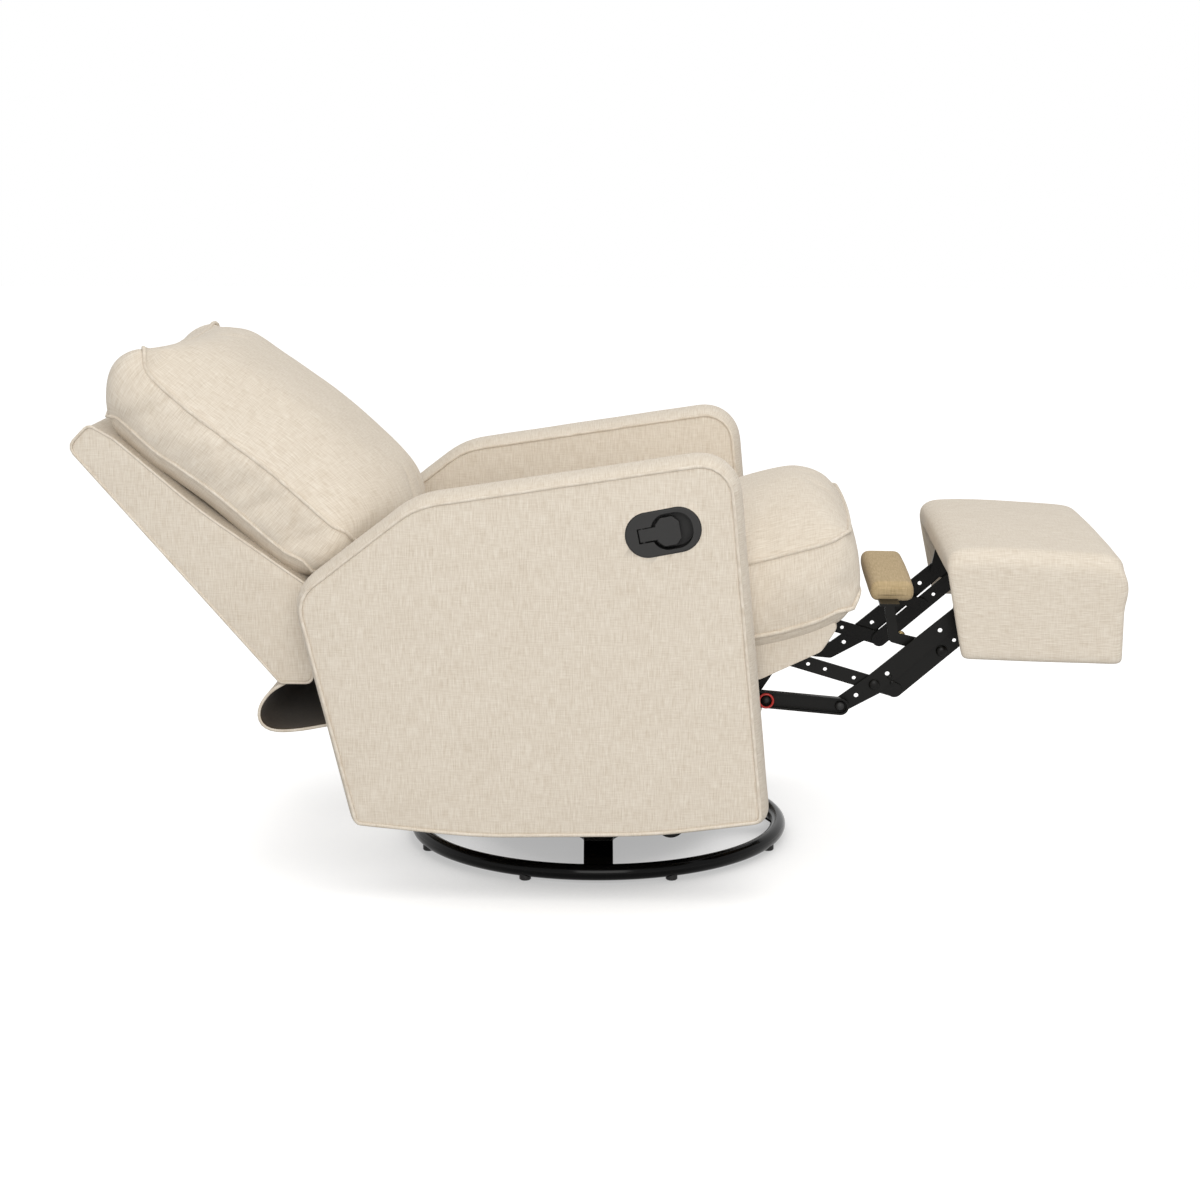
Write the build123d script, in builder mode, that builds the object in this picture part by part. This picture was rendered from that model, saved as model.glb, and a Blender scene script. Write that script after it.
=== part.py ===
# Swivel glider recliner, shown reclined with its footrest out.
# Millimetres. +Z up, the sitter faces -Y, the handle is on the -X arm.
# The origin is on the floor under the swivel's king bolt.
import os
from math import atan, cos, degrees, hypot, radians, sin

from build123d import *

os.makedirs("parts", exist_ok=True)

# Driving sizes of the body
overall_width = 768.0
arm_thickness = 102.0
arm_crown = 11.0
inner_half = overall_width / 2 - arm_thickness
arm_outer = overall_width / 2
seat_clearance = 8.0
seat_half = inner_half - seat_clearance
shell_clearance = 7.0
shell_half = inner_half - shell_clearance
hood_clearance = 6.0
hood_half = inner_half - hood_clearance
soft_gap = 0.4

# Arm outline in (Y, Z): corners in order, with the radius at each
arm_front_foot = (-262.0, 122.0)
arm_front_top = (-208.8, 659.9)
arm_knee = (245.9, 589.1)
arm_rear = (421.2, 453.0)
arm_rear_foot = (338.0, 112.0)
arm_belly = (40.0, 99.5)
arm_foot_radius = 7.0
arm_front_radius = 48.0
arm_knee_radius = 120.0
arm_rear_radius = 45.0

# Base ring, spider and swivel
ring_radius = 293.0
ring_tube = 25.0
glide_height = 5.5
glide_radius = 9.0
glide_chamfer = 1.5
glide_count = 8
spoke_count = 4
spoke_width = 45.0
spoke_turn = 3.0
sheet_steel = 4.0
spider_radius = 190.0
spider_top = 50.0
spoke_fillet = 40.0
spoke_lap = 2.0
king_radius = 8.0
king_head_radius = 13.0
king_head_height = 7.0
race_radius = 105.0
race_height = 6.0
bearing_inner = 70.0
bearing_outer = 98.0
bearing_height = 6.0
bearing_play = 0.1
bearing_chamfer = 1.0
running_clearance = 0.05

# Glide: four hanging links between the swivel carriage and the chair
glide_pivot_y = 124.0
glide_pivot_low = 84.0
glide_link_length = 121.0
glide_lug = 22.0
glide_plate = 5.0
glide_gap = 5.0
glide_pin = 8.0
glide_rail_inset = 36.0
glide_pivot_high = glide_pivot_low + glide_link_length
rail_inner = inner_half - glide_rail_inset
glide_link_inner = rail_inner - glide_gap - glide_plate
carriage_inner = glide_link_inner - glide_gap - glide_plate
beam_height = 24.0
beam_width = 40.0
beam_spread = 70.0
beam_wall = 4.0
carriage_floor = spider_top + race_height + bearing_height + race_height
carriage_foot = 100.0
carriage_hole = 17.6
plate_corner = 14.0
rail_taper = 0.9
glide_rail_top = 150.0
sill_floor = 98.0
sill_half = 140.0

# Side mechanisms: flat links in four layers, each one plate thick
mech_inset = 92.0
link_plate = 4.0
link_gap = 1.0
layer_pitch = link_plate + link_gap
mech_inner = inner_half - mech_inset
stud = 5.0
link_half = 11.0
open_pivot_clearance = 1.2
seat_pivot_clearance = 2.0
link_hole = 3.0
boss_hole = 3.5

# Footrest linkage pivots in (Y, Z), footrest out
pivot_drive = (-239.2, 274.9)
pivot_swing = (-283.4, 339.5)
joint_drive = (-381.2, 262.9)
joint_cross = (-432.5, 295.6)
joint_foot = (-557.9, 404.6)
swing_tail = 33.0
flap_reach = 73.0
swing_holes = (-105.0, -78.0, -32.0)
cross_low_hole = -32.0
cross_holes = (-36.0, -140.0)
outer_hole = -48.0
cross_half = 13.5
cross_boss = 16.0
cross_end_half = 12.0
outer_half = 12.5
rivet_radius = 7.0
rivet_height = 3.0
drive_half = 13.0
drive_depth = 12.0
drive_wall = 3.0
drive_boss = 9.0

# Seat links and the back pivot in (Y, Z)
seat_front_low = (-52.3, 198.7)
seat_front_high = (-100.0, 275.0)
seat_rear_low = (99.2, 201.6)
seat_rear_high = (45.0, 264.0)
back_pivot = (250.0, 300.0)
seat_link_half = 13.0
base_plate_half = 17.0
base_plate_crest = (0.0, 230.0)
back_pin = 8.0
front_tube = (30.0, 205.0)
rear_tube = (200.0, 245.0)
tube_radius = 11.0
tube_wall = 2.0
tube_bolt = 8.0
cable_hole = (75.0, 210.0)
front_block_y = 10.0
rear_block = (226.0, 220.0)
block_length = 44.0
block_height = 22.0
block_clearance = 8.0

# Seat rails in (Y, Z)
rail_nose_half = 12.0
rail_half = 14.0
rail_slim = 10.0
rail_rise = (-170.0, 300.0)
rail_crest = (-220.0, 318.0)
rail_waist = (-100.0, 300.0)
rail_dip = (-170.0, 290.0)
rail_middle = (-110.0, 300.0)
rail_tail = (48.0, 288.0)
rail_tabs = ((-140.0, 302.0), (-30.0, 296.0))
tab_length = 50.0
tab_thickness = 6.0

# Seat box and cushion in (Y, Z)
cushion_front_low = (-388.0, 404.0)
cushion_nose = (-411.0, 470.0)
cushion_front_high = (-386.0, 543.0)
cushion_fore = (-348.0, 536.0)
cushion_brow = (-290.0, 516.0)
cushion_hollow = (-100.0, 465.0)
cushion_rear_high = (88.0, 400.0)
cushion_heel = (96.0, 352.0)
cushion_rear_low = (88.0, 308.0)
cushion_knee = (-275.0, 361.0)
cushion_bend = (-338.0, 376.5)
front_rise = 5.0
fore_rise = 49.0
brow_rise = 84.0
hollow_rise = 80.0
rear_rise = 32.0
cushion_inset = 2.0
edge_inset = 6.0
box_rear = 100.0
box_floor_rear = 260.0
box_top_rear = 302.5
box_front = (-385.0, 398.0)
box_bend = (-338.0, 371.5)
box_knee = (-275.0, 359.0)
box_chin = (-349.0, 357.0)
box_belly = (-259.0, 313.0)
box_side_wall = 30.0
flap_clearance = 5.0
box_cavity_front = -343.0
box_rear_rail = 30.0
strap_width = 50.0
strap_count = 5
strap_thickness = 2.0
strap_margin = 35.0
strap_drop = 4.0
tail_inset = 4.0
tail_thickness = 13.0
tail_drop = 2.0
tail_end = (175.0, 311.0)

# Back: a tilted frame of its own, s up the back and n towards the sitter
back_origin = (371.0, 532.0)
back_lean = 41.7
pillow_inset = 3.0
pillow_half = shell_half - pillow_inset
shell_wall = 9.0
shell_top_rear = (781.0, 662.0)
shell_crest = (748.0, 692.0)
shell_top_front = (712.0, 668.0)
shell_sag = (585.0, 565.0)
shell_low_front = (400.0, 437.0)
shell_low_rear = (470.0, 303.0)
shell_throat = (420.0, 303.0)
shell_crest_round = 12.0
shell_corner_round = 10.0
hollow_foot = -320.0
hollow_front = -40.0
hollow_foot_rear = -300.0
hollow_bend = (-60.0, -233.0)
hollow_top = (372.0, -177.0)
bracket_bend = (345.0, 340.0)
bracket_end = (440.0, 430.0)
bracket_pivot_half = 18.0
bracket_bend_half = 16.0
bracket_end_half = 14.0
stile_width = 30.0
stile_front = -126.0
stile_rear = -158.0
stile_low = -200.0
stile_high = 365.0
frame_rail = 42.0
middle_rail = 60.0

# Pillow and lumbar pad in the back's frame, (s, n), with the crown's share at each point
pillow_rear_low = (-8.0, -84.0)
pillow_rear_belly = (190.0, -92.0)
pillow_rear_high = (392.0, -94.0)
pillow_top = (416.0, -45.0)
pillow_crest = (404.0, 2.0)
pillow_shoulder = (320.0, 10.0)
pillow_swell = (200.0, 6.0)
pillow_waist = (80.0, 8.0)
pillow_chin = (-14.0, 2.0)
pillow_throat = (-24.0, -34.0)
belly_rise = 3.0
crest_rise = 18.0
shoulder_rise = 76.0
swell_rise = 99.0
waist_rise = 105.0
chin_rise = 82.0
chin_drop = 38.0
throat_rise = 20.0
throat_drop = 44.0
pillow_core = 190.0
pillow_core_length = 290.0
lumbar_inset = 4.0
lumbar_rear_low = (-186.0, -74.0)
lumbar_rear_high = (-30.0, -86.0)
lumbar_top = (-30.0, -60.0)
lumbar_front_high = (-44.0, -30.0)
lumbar_swell = (-124.0, -20.0)
lumbar_front_low = (-206.0, -8.0)
lumbar_sole = (-202.0, -44.0)
lumbar_top_rise = 10.0
lumbar_top_drop = 42.0
lumbar_front_rise = 30.0
lumbar_front_drop = 50.0
lumbar_swell_rise = 44.0
lumbar_core = -105.0
lumbar_core_length = 130.0
core_lap = 16.0

# Rear rail and the skirt that hangs between it and the back, in (Y, Z)
rear_rail_front = 322.0
rear_rail_depth = 26.0
rear_rail_floor = 205.0
rear_rail_top = 262.0
rear_rail_round = 3.0
cloth = 3.0
skirt_inset = 7.0
skirt_half = shell_half - skirt_inset
skirt_lip = (463.0, 301.5)
skirt_fall = (484.0, 290.0)
skirt_bulge = (506.0, 255.0)
skirt_sole = (478.0, 227.0)
skirt_run = (420.0, 233.0)
skirt_hem = 243.0

# Footrest hood
hood_wall = 13.0
hood_pad = 40.0
hood_board = 12.0
hood_round = 26.0
hood_toe = -789.0
hood_heel = -532.0
hood_top = 514.0
hood_skirt = 355.0
hood_lip = 60.0
hood_heel_high = 492.0
hood_heel_top = (-552.0, 513.0)
hood_heel_round = (-538.0, 506.0)
hood_heel_foot = -558.0
hood_heel_lean = 0.2
hood_middle = -660.0
hood_toe_top = (17.0, 505.0)
hood_toe_round = (4.0, 500.0)
hood_toe_high = 488.0
hood_slack = 20.0
board_inset = 4.0
board_margin = 25.0
foot_boss = 10.0
foot_corner = 6.0
foot_rear = -6.0
foot_front = -640.0
foot_seat_middle = -610.0
foot_seat_length = 96.0
foot_seat_width = 28.0
foot_seat_thickness = 4.0

# Middle flap
flap_pad_inset = 40.0
flap_centre = (-455.0, 428.0)
flap_depth = 55.0
flap_thickness = 20.0
flap_round = 8.0
flap_end_round = 6.0
flap_boss = 10.0
flap_stem_half = 8.0
flap_seat_length = 30.0
flap_seat_thickness = 4.0
stem_foot = (-462.0, 366.0)

# Handle in the -X arm
handle_centre = (-114.0, 557.5)
handle_tilt = 11.0
handle_length = 112.0
handle_height = 67.0
handle_rim = 4.5
handle_plate = 5.0
handle_cup_depth = 24.0
handle_wall = 2.5
finger_cup_start = -17.5
finger_cup_length = 61.0
finger_cup_height = 53.0
finger_cup_round = 24.0
lever_pin_back = 30.0
lever_pin = 3.0
lever_thickness = 6.0
lever_sink = 3.0
stem_width = 20.0
stem_tail = 6.0
stem_round = 1.5
stem_gap = 1.0
stem_pit = 13.0
paddle_start = -10.5
paddle_length = 36.0
paddle_height = 43.0
paddle_chamfer = 9.0
pin_reach = 4.0


def point_on(start, end, distance):
    """A point on the line from start through end, a distance past end."""
    length = hypot(end[0] - start[0], end[1] - start[1])
    reach = (length + distance) / length
    return (start[0] + (end[0] - start[0]) * reach, start[1] + (end[1] - start[1]) * reach)


def shifted(point, start, end):
    """The point moved by the vector from start to end."""
    return (point[0] + end[0] - start[0], point[1] + end[1] - start[1])


def hull(*rounds):
    """A plate outline stretched round circles, each given as (point, radius)."""
    with BuildLine() as circles:
        for centre, radius in rounds:
            CenterArc(centre, radius, 0, 360)
    make_hull(circles.edges())


def holes(radius, *centres):
    """Round holes through the sketch at the given points."""
    with Locations(*centres):
        Circle(radius, mode=Mode.SUBTRACT)


def layer(index):
    """Inner face of a mechanism layer, counted outwards from the seat rail."""
    return Plane.YZ.offset(mech_inner + index * layer_pitch)


def studs(plane, length, *centres, radius=stud):
    """Round studs standing on a plane at the given points."""
    with BuildSketch(plane) as rounds:
        with Locations(*centres):
            Circle(radius)
    extrude(rounds.sketch, amount=length)


def finish(builder, name):
    """Label a finished piece and write it out."""
    builder.part.label = name
    export_step(builder.part, "parts/" + name + ".step")


joint_tail = point_on(pivot_swing, joint_cross, swing_tail)
joint_tip = shifted(joint_tail, joint_cross, joint_foot)
flap_pivot = point_on(joint_tail, joint_tip, -flap_reach)

# Base: ring, spider, glides and the lower half of the swivel
ring_height = glide_height + ring_tube / 2
with BuildPart() as base_ring:
    with BuildSketch(Plane.XZ):
        with Locations((ring_radius, ring_height)):
            Circle(ring_tube / 2)
    revolve(axis=Axis.Z)
finish(base_ring, "base_ring")

with BuildPart() as floor_glides:
    with BuildSketch(Plane.XY):
        with PolarLocations(ring_radius, glide_count, start_angle=spoke_turn + 180 / glide_count):
            Circle(glide_radius)
    extrude(amount=glide_height + ring_tube / 6)
    with BuildSketch(Plane.XZ):
        with Locations((ring_radius, ring_height)):
            Circle(ring_tube / 2 + running_clearance)
    revolve(axis=Axis.Z, mode=Mode.SUBTRACT)
    chamfer(floor_glides.edges().group_by(Axis.Z)[0], glide_chamfer)
finish(floor_glides, "floor_glides")

spoke_reach = ring_radius - ring_tube / 2 + spoke_lap
spoke_start = spider_radius + spoke_fillet
spoke_drop = spider_top - ring_height - sheet_steel
with BuildPart() as base_spider:
    with BuildSketch(Plane.XY.offset(spider_top - sheet_steel)):
        Circle(spider_radius)
        with PolarLocations(0, spoke_count, start_angle=spoke_turn):
            Rectangle(spoke_start, spoke_width, align=(Align.MIN, Align.CENTER))
        Circle(king_radius, mode=Mode.SUBTRACT)
    extrude(amount=sheet_steel)
    corners = base_spider.edges().filter_by(Axis.Z)
    roots = [edge for edge in corners if hypot(edge.center().X, edge.center().Y) < spider_radius + spoke_lap]
    fillet(roots, spoke_fillet)
    for turn in range(spoke_count):
        spoke_plane = Plane.XZ.rotated((0, 0, spoke_turn + turn * 360 / spoke_count))
        with BuildSketch(spoke_plane):
            with BuildLine():
                start = (spoke_start - spoke_lap, spider_top)
                end = (spoke_reach, spider_top - spoke_drop)
                sag = ((start[0] + end[0]) / 2, (start[1] + end[1]) / 2 + spoke_drop / 10)
                ThreePointArc(start, sag, end)
                under = Vector(0, -sheet_steel)
                Line(end, Vector(*end) + under)
                ThreePointArc(Vector(*end) + under, Vector(*sag) + under, Vector(*start) + under)
                Line(Vector(*start) + under, start)
            make_face()
        extrude(amount=spoke_width / 2, both=True)
    with BuildSketch(Plane.XZ):
        with Locations((ring_radius, ring_height)):
            Circle(ring_tube / 2)
    revolve(axis=Axis.Z, mode=Mode.SUBTRACT)
finish(base_spider, "base_spider")

with BuildPart() as lower_race:
    with BuildSketch(Plane.XY.offset(spider_top)):
        Circle(race_radius)
        Circle(king_radius, mode=Mode.SUBTRACT)
    extrude(amount=race_height)
finish(lower_race, "swivel_lower_race")

bearing_floor = spider_top + race_height
with BuildPart() as bearing_ring:
    with BuildSketch(Plane.XY.offset(bearing_floor)):
        Circle(bearing_outer)
        Circle(bearing_inner, mode=Mode.SUBTRACT)
    extrude(amount=bearing_height - bearing_play)
    chamfer(bearing_ring.edges(), bearing_chamfer)
finish(bearing_ring, "swivel_bearing_ring")

king_top = carriage_floor + sheet_steel
with BuildPart() as king_bolt:
    with BuildSketch(Plane.XY.offset(spider_top - sheet_steel)):
        Circle(king_radius)
    extrude(amount=king_top - spider_top + sheet_steel)
    with BuildSketch(Plane.XY.offset(spider_top - sheet_steel)):
        RegularPolygon(king_head_radius, 6)
    extrude(amount=-king_head_height)
    with BuildSketch(Plane.XY.offset(king_top)):
        RegularPolygon(king_head_radius, 6)
    extrude(amount=king_head_height)
finish(king_bolt, "king_bolt")

# Swivel carriage: turning plate, two cross beams and two side plates
with BuildPart() as turn_plate:
    with BuildSketch(Plane.XY.offset(bearing_floor + bearing_height)):
        Circle(race_radius)
        Circle(king_radius + running_clearance, mode=Mode.SUBTRACT)
    extrude(amount=race_height)
finish(turn_plate, "swivel_turn_plate")

with BuildPart() as cross_beams:
    for side in (-1, 1):
        with BuildSketch(Plane.YZ.offset(-carriage_inner)):
            with Locations((side * beam_spread, carriage_floor + beam_height / 2)):
                Rectangle(beam_width, beam_height)
                Rectangle(beam_width - 2 * beam_wall, beam_height - 2 * beam_wall, mode=Mode.SUBTRACT)
        extrude(amount=2 * carriage_inner)
finish(cross_beams, "carriage_beams")

upper_pins = [(-glide_pivot_y, glide_pivot_high), (glide_pivot_y, glide_pivot_high)]
lower_pins = [(-glide_pivot_y, glide_pivot_low), (glide_pivot_y, glide_pivot_low)]
with BuildPart() as carriage_plates:
    with BuildSketch(Plane.YZ.offset(carriage_inner)):
        for pin, foot in zip(upper_pins, (-carriage_foot, carriage_foot)):
            hull((pin, glide_lug), ((foot, carriage_floor + plate_corner), plate_corner))
        with Locations((0, carriage_floor + beam_height)):
            Rectangle(2 * carriage_foot, 2 * beam_height)
        for hole_y in (-carriage_foot / 2, carriage_foot / 2):
            holes(carriage_hole, (hole_y, carriage_floor + beam_height))
    extrude(amount=glide_plate)
    studs(Plane.YZ.offset(carriage_inner + glide_plate), 2 * glide_gap, *upper_pins, radius=glide_pin)
    mirror(about=Plane.YZ)
finish(carriage_plates, "carriage_side_plates")


def glide_links(name, sign, low_hole):
    """One pair of hanging links, front or rear."""
    high = (sign * glide_pivot_y, glide_pivot_high)
    low = (sign * glide_pivot_y, glide_pivot_low)
    with BuildPart() as links:
        with BuildSketch(Plane.YZ.offset(glide_link_inner)):
            hull((high, glide_lug), (low, glide_lug))
            holes(glide_pin + running_clearance, high)
            holes(low_hole, low)
        extrude(amount=glide_plate)
        mirror(about=Plane.YZ)
    finish(links, name)


glide_links("front_glide_links", -1, glide_pin + running_clearance)
glide_links("rear_glide_links", 1, glide_pin + open_pivot_clearance)

# Chair frame: glide rails, sills, side mechanism plates and rails
with BuildPart() as glide_rails:
    with BuildSketch(Plane.YZ.offset(rail_inner)):
        for pin in lower_pins:
            hull((pin, glide_lug), ((pin[0] * rail_taper, glide_rail_top - plate_corner), plate_corner))
        with Locations((0, (sill_floor + glide_rail_top) / 2)):
            Rectangle(2 * glide_pivot_y, glide_rail_top - sill_floor)
    extrude(amount=glide_plate)
    studs(Plane.YZ.offset(rail_inner), -2 * glide_gap, *lower_pins, radius=glide_pin)
    mirror(about=Plane.YZ)
finish(glide_rails, "glide_rails")

with BuildPart() as sills:
    with BuildSketch(Plane.YZ.offset(rail_inner + glide_plate)):
        with Locations((0, (sill_floor + glide_rail_top) / 2)):
            Rectangle(2 * sill_half, glide_rail_top - sill_floor)
    extrude(amount=glide_rail_inset - glide_plate)
    mirror(about=Plane.YZ)
finish(sills, "arm_sills")

mech_outer = mech_inner + 2 * layer_pitch + link_plate
with BuildPart() as base_plates:
    with BuildSketch(layer(2)):
        hull((seat_front_low, base_plate_half), (seat_rear_low, base_plate_half))
        hull((seat_rear_low, base_plate_half), (back_pivot, base_plate_half))
        hull((base_plate_crest, base_plate_half), (seat_rear_low, base_plate_half))
        holes(tube_bolt, front_tube, cable_hole)
    extrude(amount=link_plate)
    studs(layer(2), -layer_pitch, seat_front_low, seat_rear_low)
    studs(layer(2).offset(link_plate), layer_pitch, back_pivot, radius=back_pin)
    mirror(about=Plane.YZ)
finish(base_plates, "mechanism_base_plates")

front_block = (front_block_y, glide_pivot_high + glide_lug + block_clearance + block_height / 2)
block_width = inner_half - mech_outer
with BuildPart() as arm_blocks:
    with BuildSketch(Plane.YZ.offset(mech_outer)):
        with Locations(front_block, rear_block):
            Rectangle(block_length, block_height)
    extrude(amount=block_width)
    mirror(about=Plane.YZ)
finish(arm_blocks, "arm_mounting_blocks")

with BuildPart() as cross_tubes:
    with BuildSketch(Plane.YZ.offset(-mech_inner - 2 * layer_pitch)):
        with Locations(front_tube, rear_tube):
            Circle(tube_radius)
            Circle(tube_radius - tube_wall, mode=Mode.SUBTRACT)
    extrude(amount=2 * (mech_inner + 2 * layer_pitch))
finish(cross_tubes, "mechanism_cross_tubes")

with BuildPart() as rear_rail:
    with BuildSketch(Plane.YZ.offset(-inner_half)):
        with Locations((rear_rail_front + rear_rail_depth / 2, (rear_rail_floor + rear_rail_top) / 2)):
            Rectangle(rear_rail_depth, rear_rail_top - rear_rail_floor)
    extrude(amount=2 * inner_half)
    fillet(rear_rail.edges().filter_by(Axis.X), rear_rail_round)
finish(rear_rail, "rear_cross_rail")


# Arms: padded panels, their bands crowned between two seams
def arm_outline(side, growth):
    """Draw the arm's side outline, grown outwards by the crown at this station."""
    with BuildLine() as edge:
        Polyline(arm_front_foot, arm_front_top, arm_knee, arm_rear, arm_rear_foot)
        ThreePointArc(arm_rear_foot, arm_belly, arm_front_foot)
    make_face(edge.edges())
    rounds = (
        (arm_front_foot, arm_foot_radius),
        (arm_front_top, arm_front_radius),
        (arm_knee, arm_knee_radius),
        (arm_rear, arm_rear_radius),
        (arm_rear_foot, arm_foot_radius),
    )
    for corner, radius in rounds:
        fillet(side.vertices().sort_by_distance(corner)[0], radius)
    if growth > 0:
        offset(amount=growth, kind=Kind.INTERSECTION)


arm_stations = ((0.0, 0.0), (0.22, 0.75), (0.5, 1.0), (0.78, 0.75), (1.0, 0.0))


def handle_plane(x):
    """Plane facing out of the handle side, its x axis towards the chair's front."""
    slope = radians(handle_tilt)
    return Plane((x, *handle_centre), x_dir=(0, -cos(slope), sin(slope)), z_dir=(-1, 0, 0))


with BuildPart() as left_arm:
    for share, swell in arm_stations:
        with BuildSketch(Plane.YZ.offset(inner_half + share * arm_thickness)) as side:
            arm_outline(side, swell * arm_crown)
    loft()
finish(left_arm, "left_arm")

cup_length = handle_length - 2 * handle_rim
cup_height = handle_height - 2 * handle_rim
with BuildPart() as right_arm:
    for share, swell in arm_stations:
        with BuildSketch(Plane.YZ.offset(-inner_half - share * arm_thickness)) as side:
            arm_outline(side, swell * arm_crown)
    loft()
    with BuildSketch(handle_plane(-arm_outer)):
        SlotOverall(cup_length + 2 * soft_gap, cup_height + 2 * soft_gap)
    extrude(amount=-handle_cup_depth - soft_gap, mode=Mode.SUBTRACT)
finish(right_arm, "right_arm")

# Handle: cup let into the arm, with a finger hollow and a slot for the lever that swings out
lever_top = -arm_outer - lever_sink
pin_x = lever_top + lever_thickness / 2
pin_half = stem_width / 2 + stem_gap + pin_reach
stem_start = -lever_pin_back - stem_tail
stem_length = paddle_start - stem_start + stem_round
pin_plane = Plane(
    handle_plane(pin_x).from_local_coords((-lever_pin_back, 0, 0)),
    x_dir=(1, 0, 0),
    z_dir=handle_plane(pin_x).y_dir,
)
with BuildPart() as handle_cup:
    with BuildSketch(handle_plane(-arm_outer)):
        SlotOverall(handle_length, handle_height)
    extrude(amount=handle_plate)
    fillet(handle_cup.faces().sort_by(Axis.X)[0].edges(), handle_plate / 2)
    with BuildSketch(handle_plane(-arm_outer)):
        SlotOverall(cup_length, cup_height)
    extrude(amount=-handle_cup_depth)
    with BuildSketch(handle_plane(-arm_outer - handle_plate)):
        with Locations((finger_cup_start + finger_cup_length / 2, 0)):
            RectangleRounded(finger_cup_length, finger_cup_height, finger_cup_round)
    extrude(amount=handle_wall - handle_plate - handle_cup_depth, mode=Mode.SUBTRACT)
    with BuildSketch(handle_plane(-arm_outer - handle_plate)):
        with Locations((stem_start - stem_gap, 0)):
            Rectangle(stem_length + stem_gap, stem_width + 2 * stem_gap, align=(Align.MIN, Align.CENTER))
    extrude(amount=-stem_pit, mode=Mode.SUBTRACT)
    with BuildSketch(pin_plane):
        Circle(lever_pin + running_clearance)
    extrude(amount=pin_half, both=True, mode=Mode.SUBTRACT)
finish(handle_cup, "handle_cup")

with BuildPart() as handle_lever:
    with BuildSketch(handle_plane(lever_top)) as paddle_face:
        with Locations((paddle_start, 0)):
            Rectangle(paddle_length, paddle_height, align=(Align.MIN, Align.CENTER))
        chamfer(paddle_face.vertices(), paddle_chamfer)
    extrude(amount=-lever_thickness)
    with BuildSketch(handle_plane(lever_top)):
        with Locations((stem_start, 0)):
            Rectangle(stem_length, stem_width, align=(Align.MIN, Align.CENTER))
    extrude(amount=-lever_thickness)
    fillet(handle_lever.faces().sort_by(Axis.X)[0].edges(), stem_round)
    with BuildSketch(pin_plane):
        Circle(lever_pin)
    extrude(amount=pin_half, both=True)
finish(handle_lever, "handle_lever")


# Seat links
def seat_links(name, low, high, high_hole):
    """One pair of links that carry the seat on the mechanism plates."""
    with BuildPart() as links:
        with BuildSketch(layer(1)):
            hull((low, seat_link_half), (high, seat_link_half))
            holes(stud + running_clearance, low)
            holes(high_hole, high)
        extrude(amount=link_plate)
        mirror(about=Plane.YZ)
    finish(links, name)


seat_links("front_seat_links", seat_front_low, seat_front_high, stud + running_clearance)
seat_links("rear_seat_links", seat_rear_low, seat_rear_high, stud + seat_pivot_clearance)

# Seat: steel rails, padded box, straps and cushion
box_half = hood_half - hood_wall - flap_clearance
cavity_half = box_half - box_side_wall
with BuildPart() as seat_rails:
    with BuildSketch(layer(0)):
        hull((pivot_swing, rail_nose_half), (pivot_drive, rail_half))
        hull((pivot_drive, rail_half), (rail_rise, rail_half))
        hull((rail_crest, rail_slim), (rail_waist, rail_slim), (rail_dip, rail_slim))
        rear_ends = ((rail_tail, rail_slim), (seat_rear_high, rail_half))
        hull((seat_front_high, rail_half), (rail_middle, rail_slim), *rear_ends)
    extrude(amount=link_plate)
    seat_studs = (pivot_swing, seat_front_high, seat_rear_high)
    studs(layer(1), link_plate, *seat_studs)
    studs(layer(1).offset(-link_gap), 3 * layer_pitch - link_plate, pivot_drive, radius=drive_boss)
    studs(layer(3), link_plate, pivot_drive)
    studs(layer(1).offset(-link_gap), link_gap, *seat_studs, radius=drive_boss)
    with BuildSketch(layer(1).offset(-link_gap)):
        with Locations(*rail_tabs):
            Rectangle(tab_length, tab_thickness)
    extrude(amount=cavity_half - mech_inner - link_plate)
    mirror(about=Plane.YZ)
finish(seat_rails, "seat_rails")


def box_side(plane):
    """The seat box seen from the side, drawn on the plane."""
    with BuildSketch(plane) as outline:
        with BuildLine() as edge:
            Polyline((box_rear, box_top_rear), box_knee)
            ThreePointArc(box_knee, box_bend, box_front)
            Polyline(box_front, box_chin, box_belly, (box_rear, box_floor_rear), (box_rear, box_top_rear))
        make_face(edge.edges())
    return outline.sketch


with BuildPart() as box_sides:
    extrude(box_side(Plane.YZ.offset(cavity_half)), amount=box_side_wall)
    mirror(about=Plane.YZ)
finish(box_sides, "seat_box_sides")

with BuildPart() as box_front_rail:
    extrude(box_side(Plane.YZ.offset(-cavity_half)), amount=2 * cavity_half)
    split(bisect_by=Plane.XZ.offset(-box_cavity_front), keep=Keep.TOP)
finish(box_front_rail, "seat_box_front")

with BuildPart() as box_back_rail:
    extrude(box_side(Plane.YZ.offset(-cavity_half)), amount=2 * cavity_half)
    split(bisect_by=Plane.XZ.offset(box_rear_rail - box_rear), keep=Keep.BOTTOM)
finish(box_back_rail, "seat_box_rear")

strap_slope = (box_knee[1] - box_top_rear) / (box_knee[0] - box_rear)
strap_first = box_knee[0] + strap_width
strap_last = box_rear - box_rear_rail - strap_margin
strap_pitch = (strap_last - strap_first) / (strap_count - 1)
with BuildPart() as seat_straps:
    for count in range(strap_count):
        strap_y = strap_first + count * strap_pitch
        strap_z = box_top_rear + strap_slope * (strap_y - box_rear) - strap_drop
        with BuildSketch(Plane.YZ.offset(-cavity_half)):
            with Locations((strap_y, strap_z)):
                Rectangle(strap_width, strap_thickness, rotation=degrees(atan(strap_slope)))
        extrude(amount=2 * cavity_half)
finish(seat_straps, "seat_straps")


def cushion_stations(half):
    """Loft stations across a cushion: offset from the middle, the crown's share and the edge's inset."""
    stations = []
    for share in cushion_shares:
        crown = 1.0 - share * share
        stations.append((share * half, crown, edge_inset if crown == 0 else 0.0))
    return stations


def moved(point, along, up):
    """The point moved along and up its plane."""
    return (point[0] + along, point[1] + up)


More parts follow.
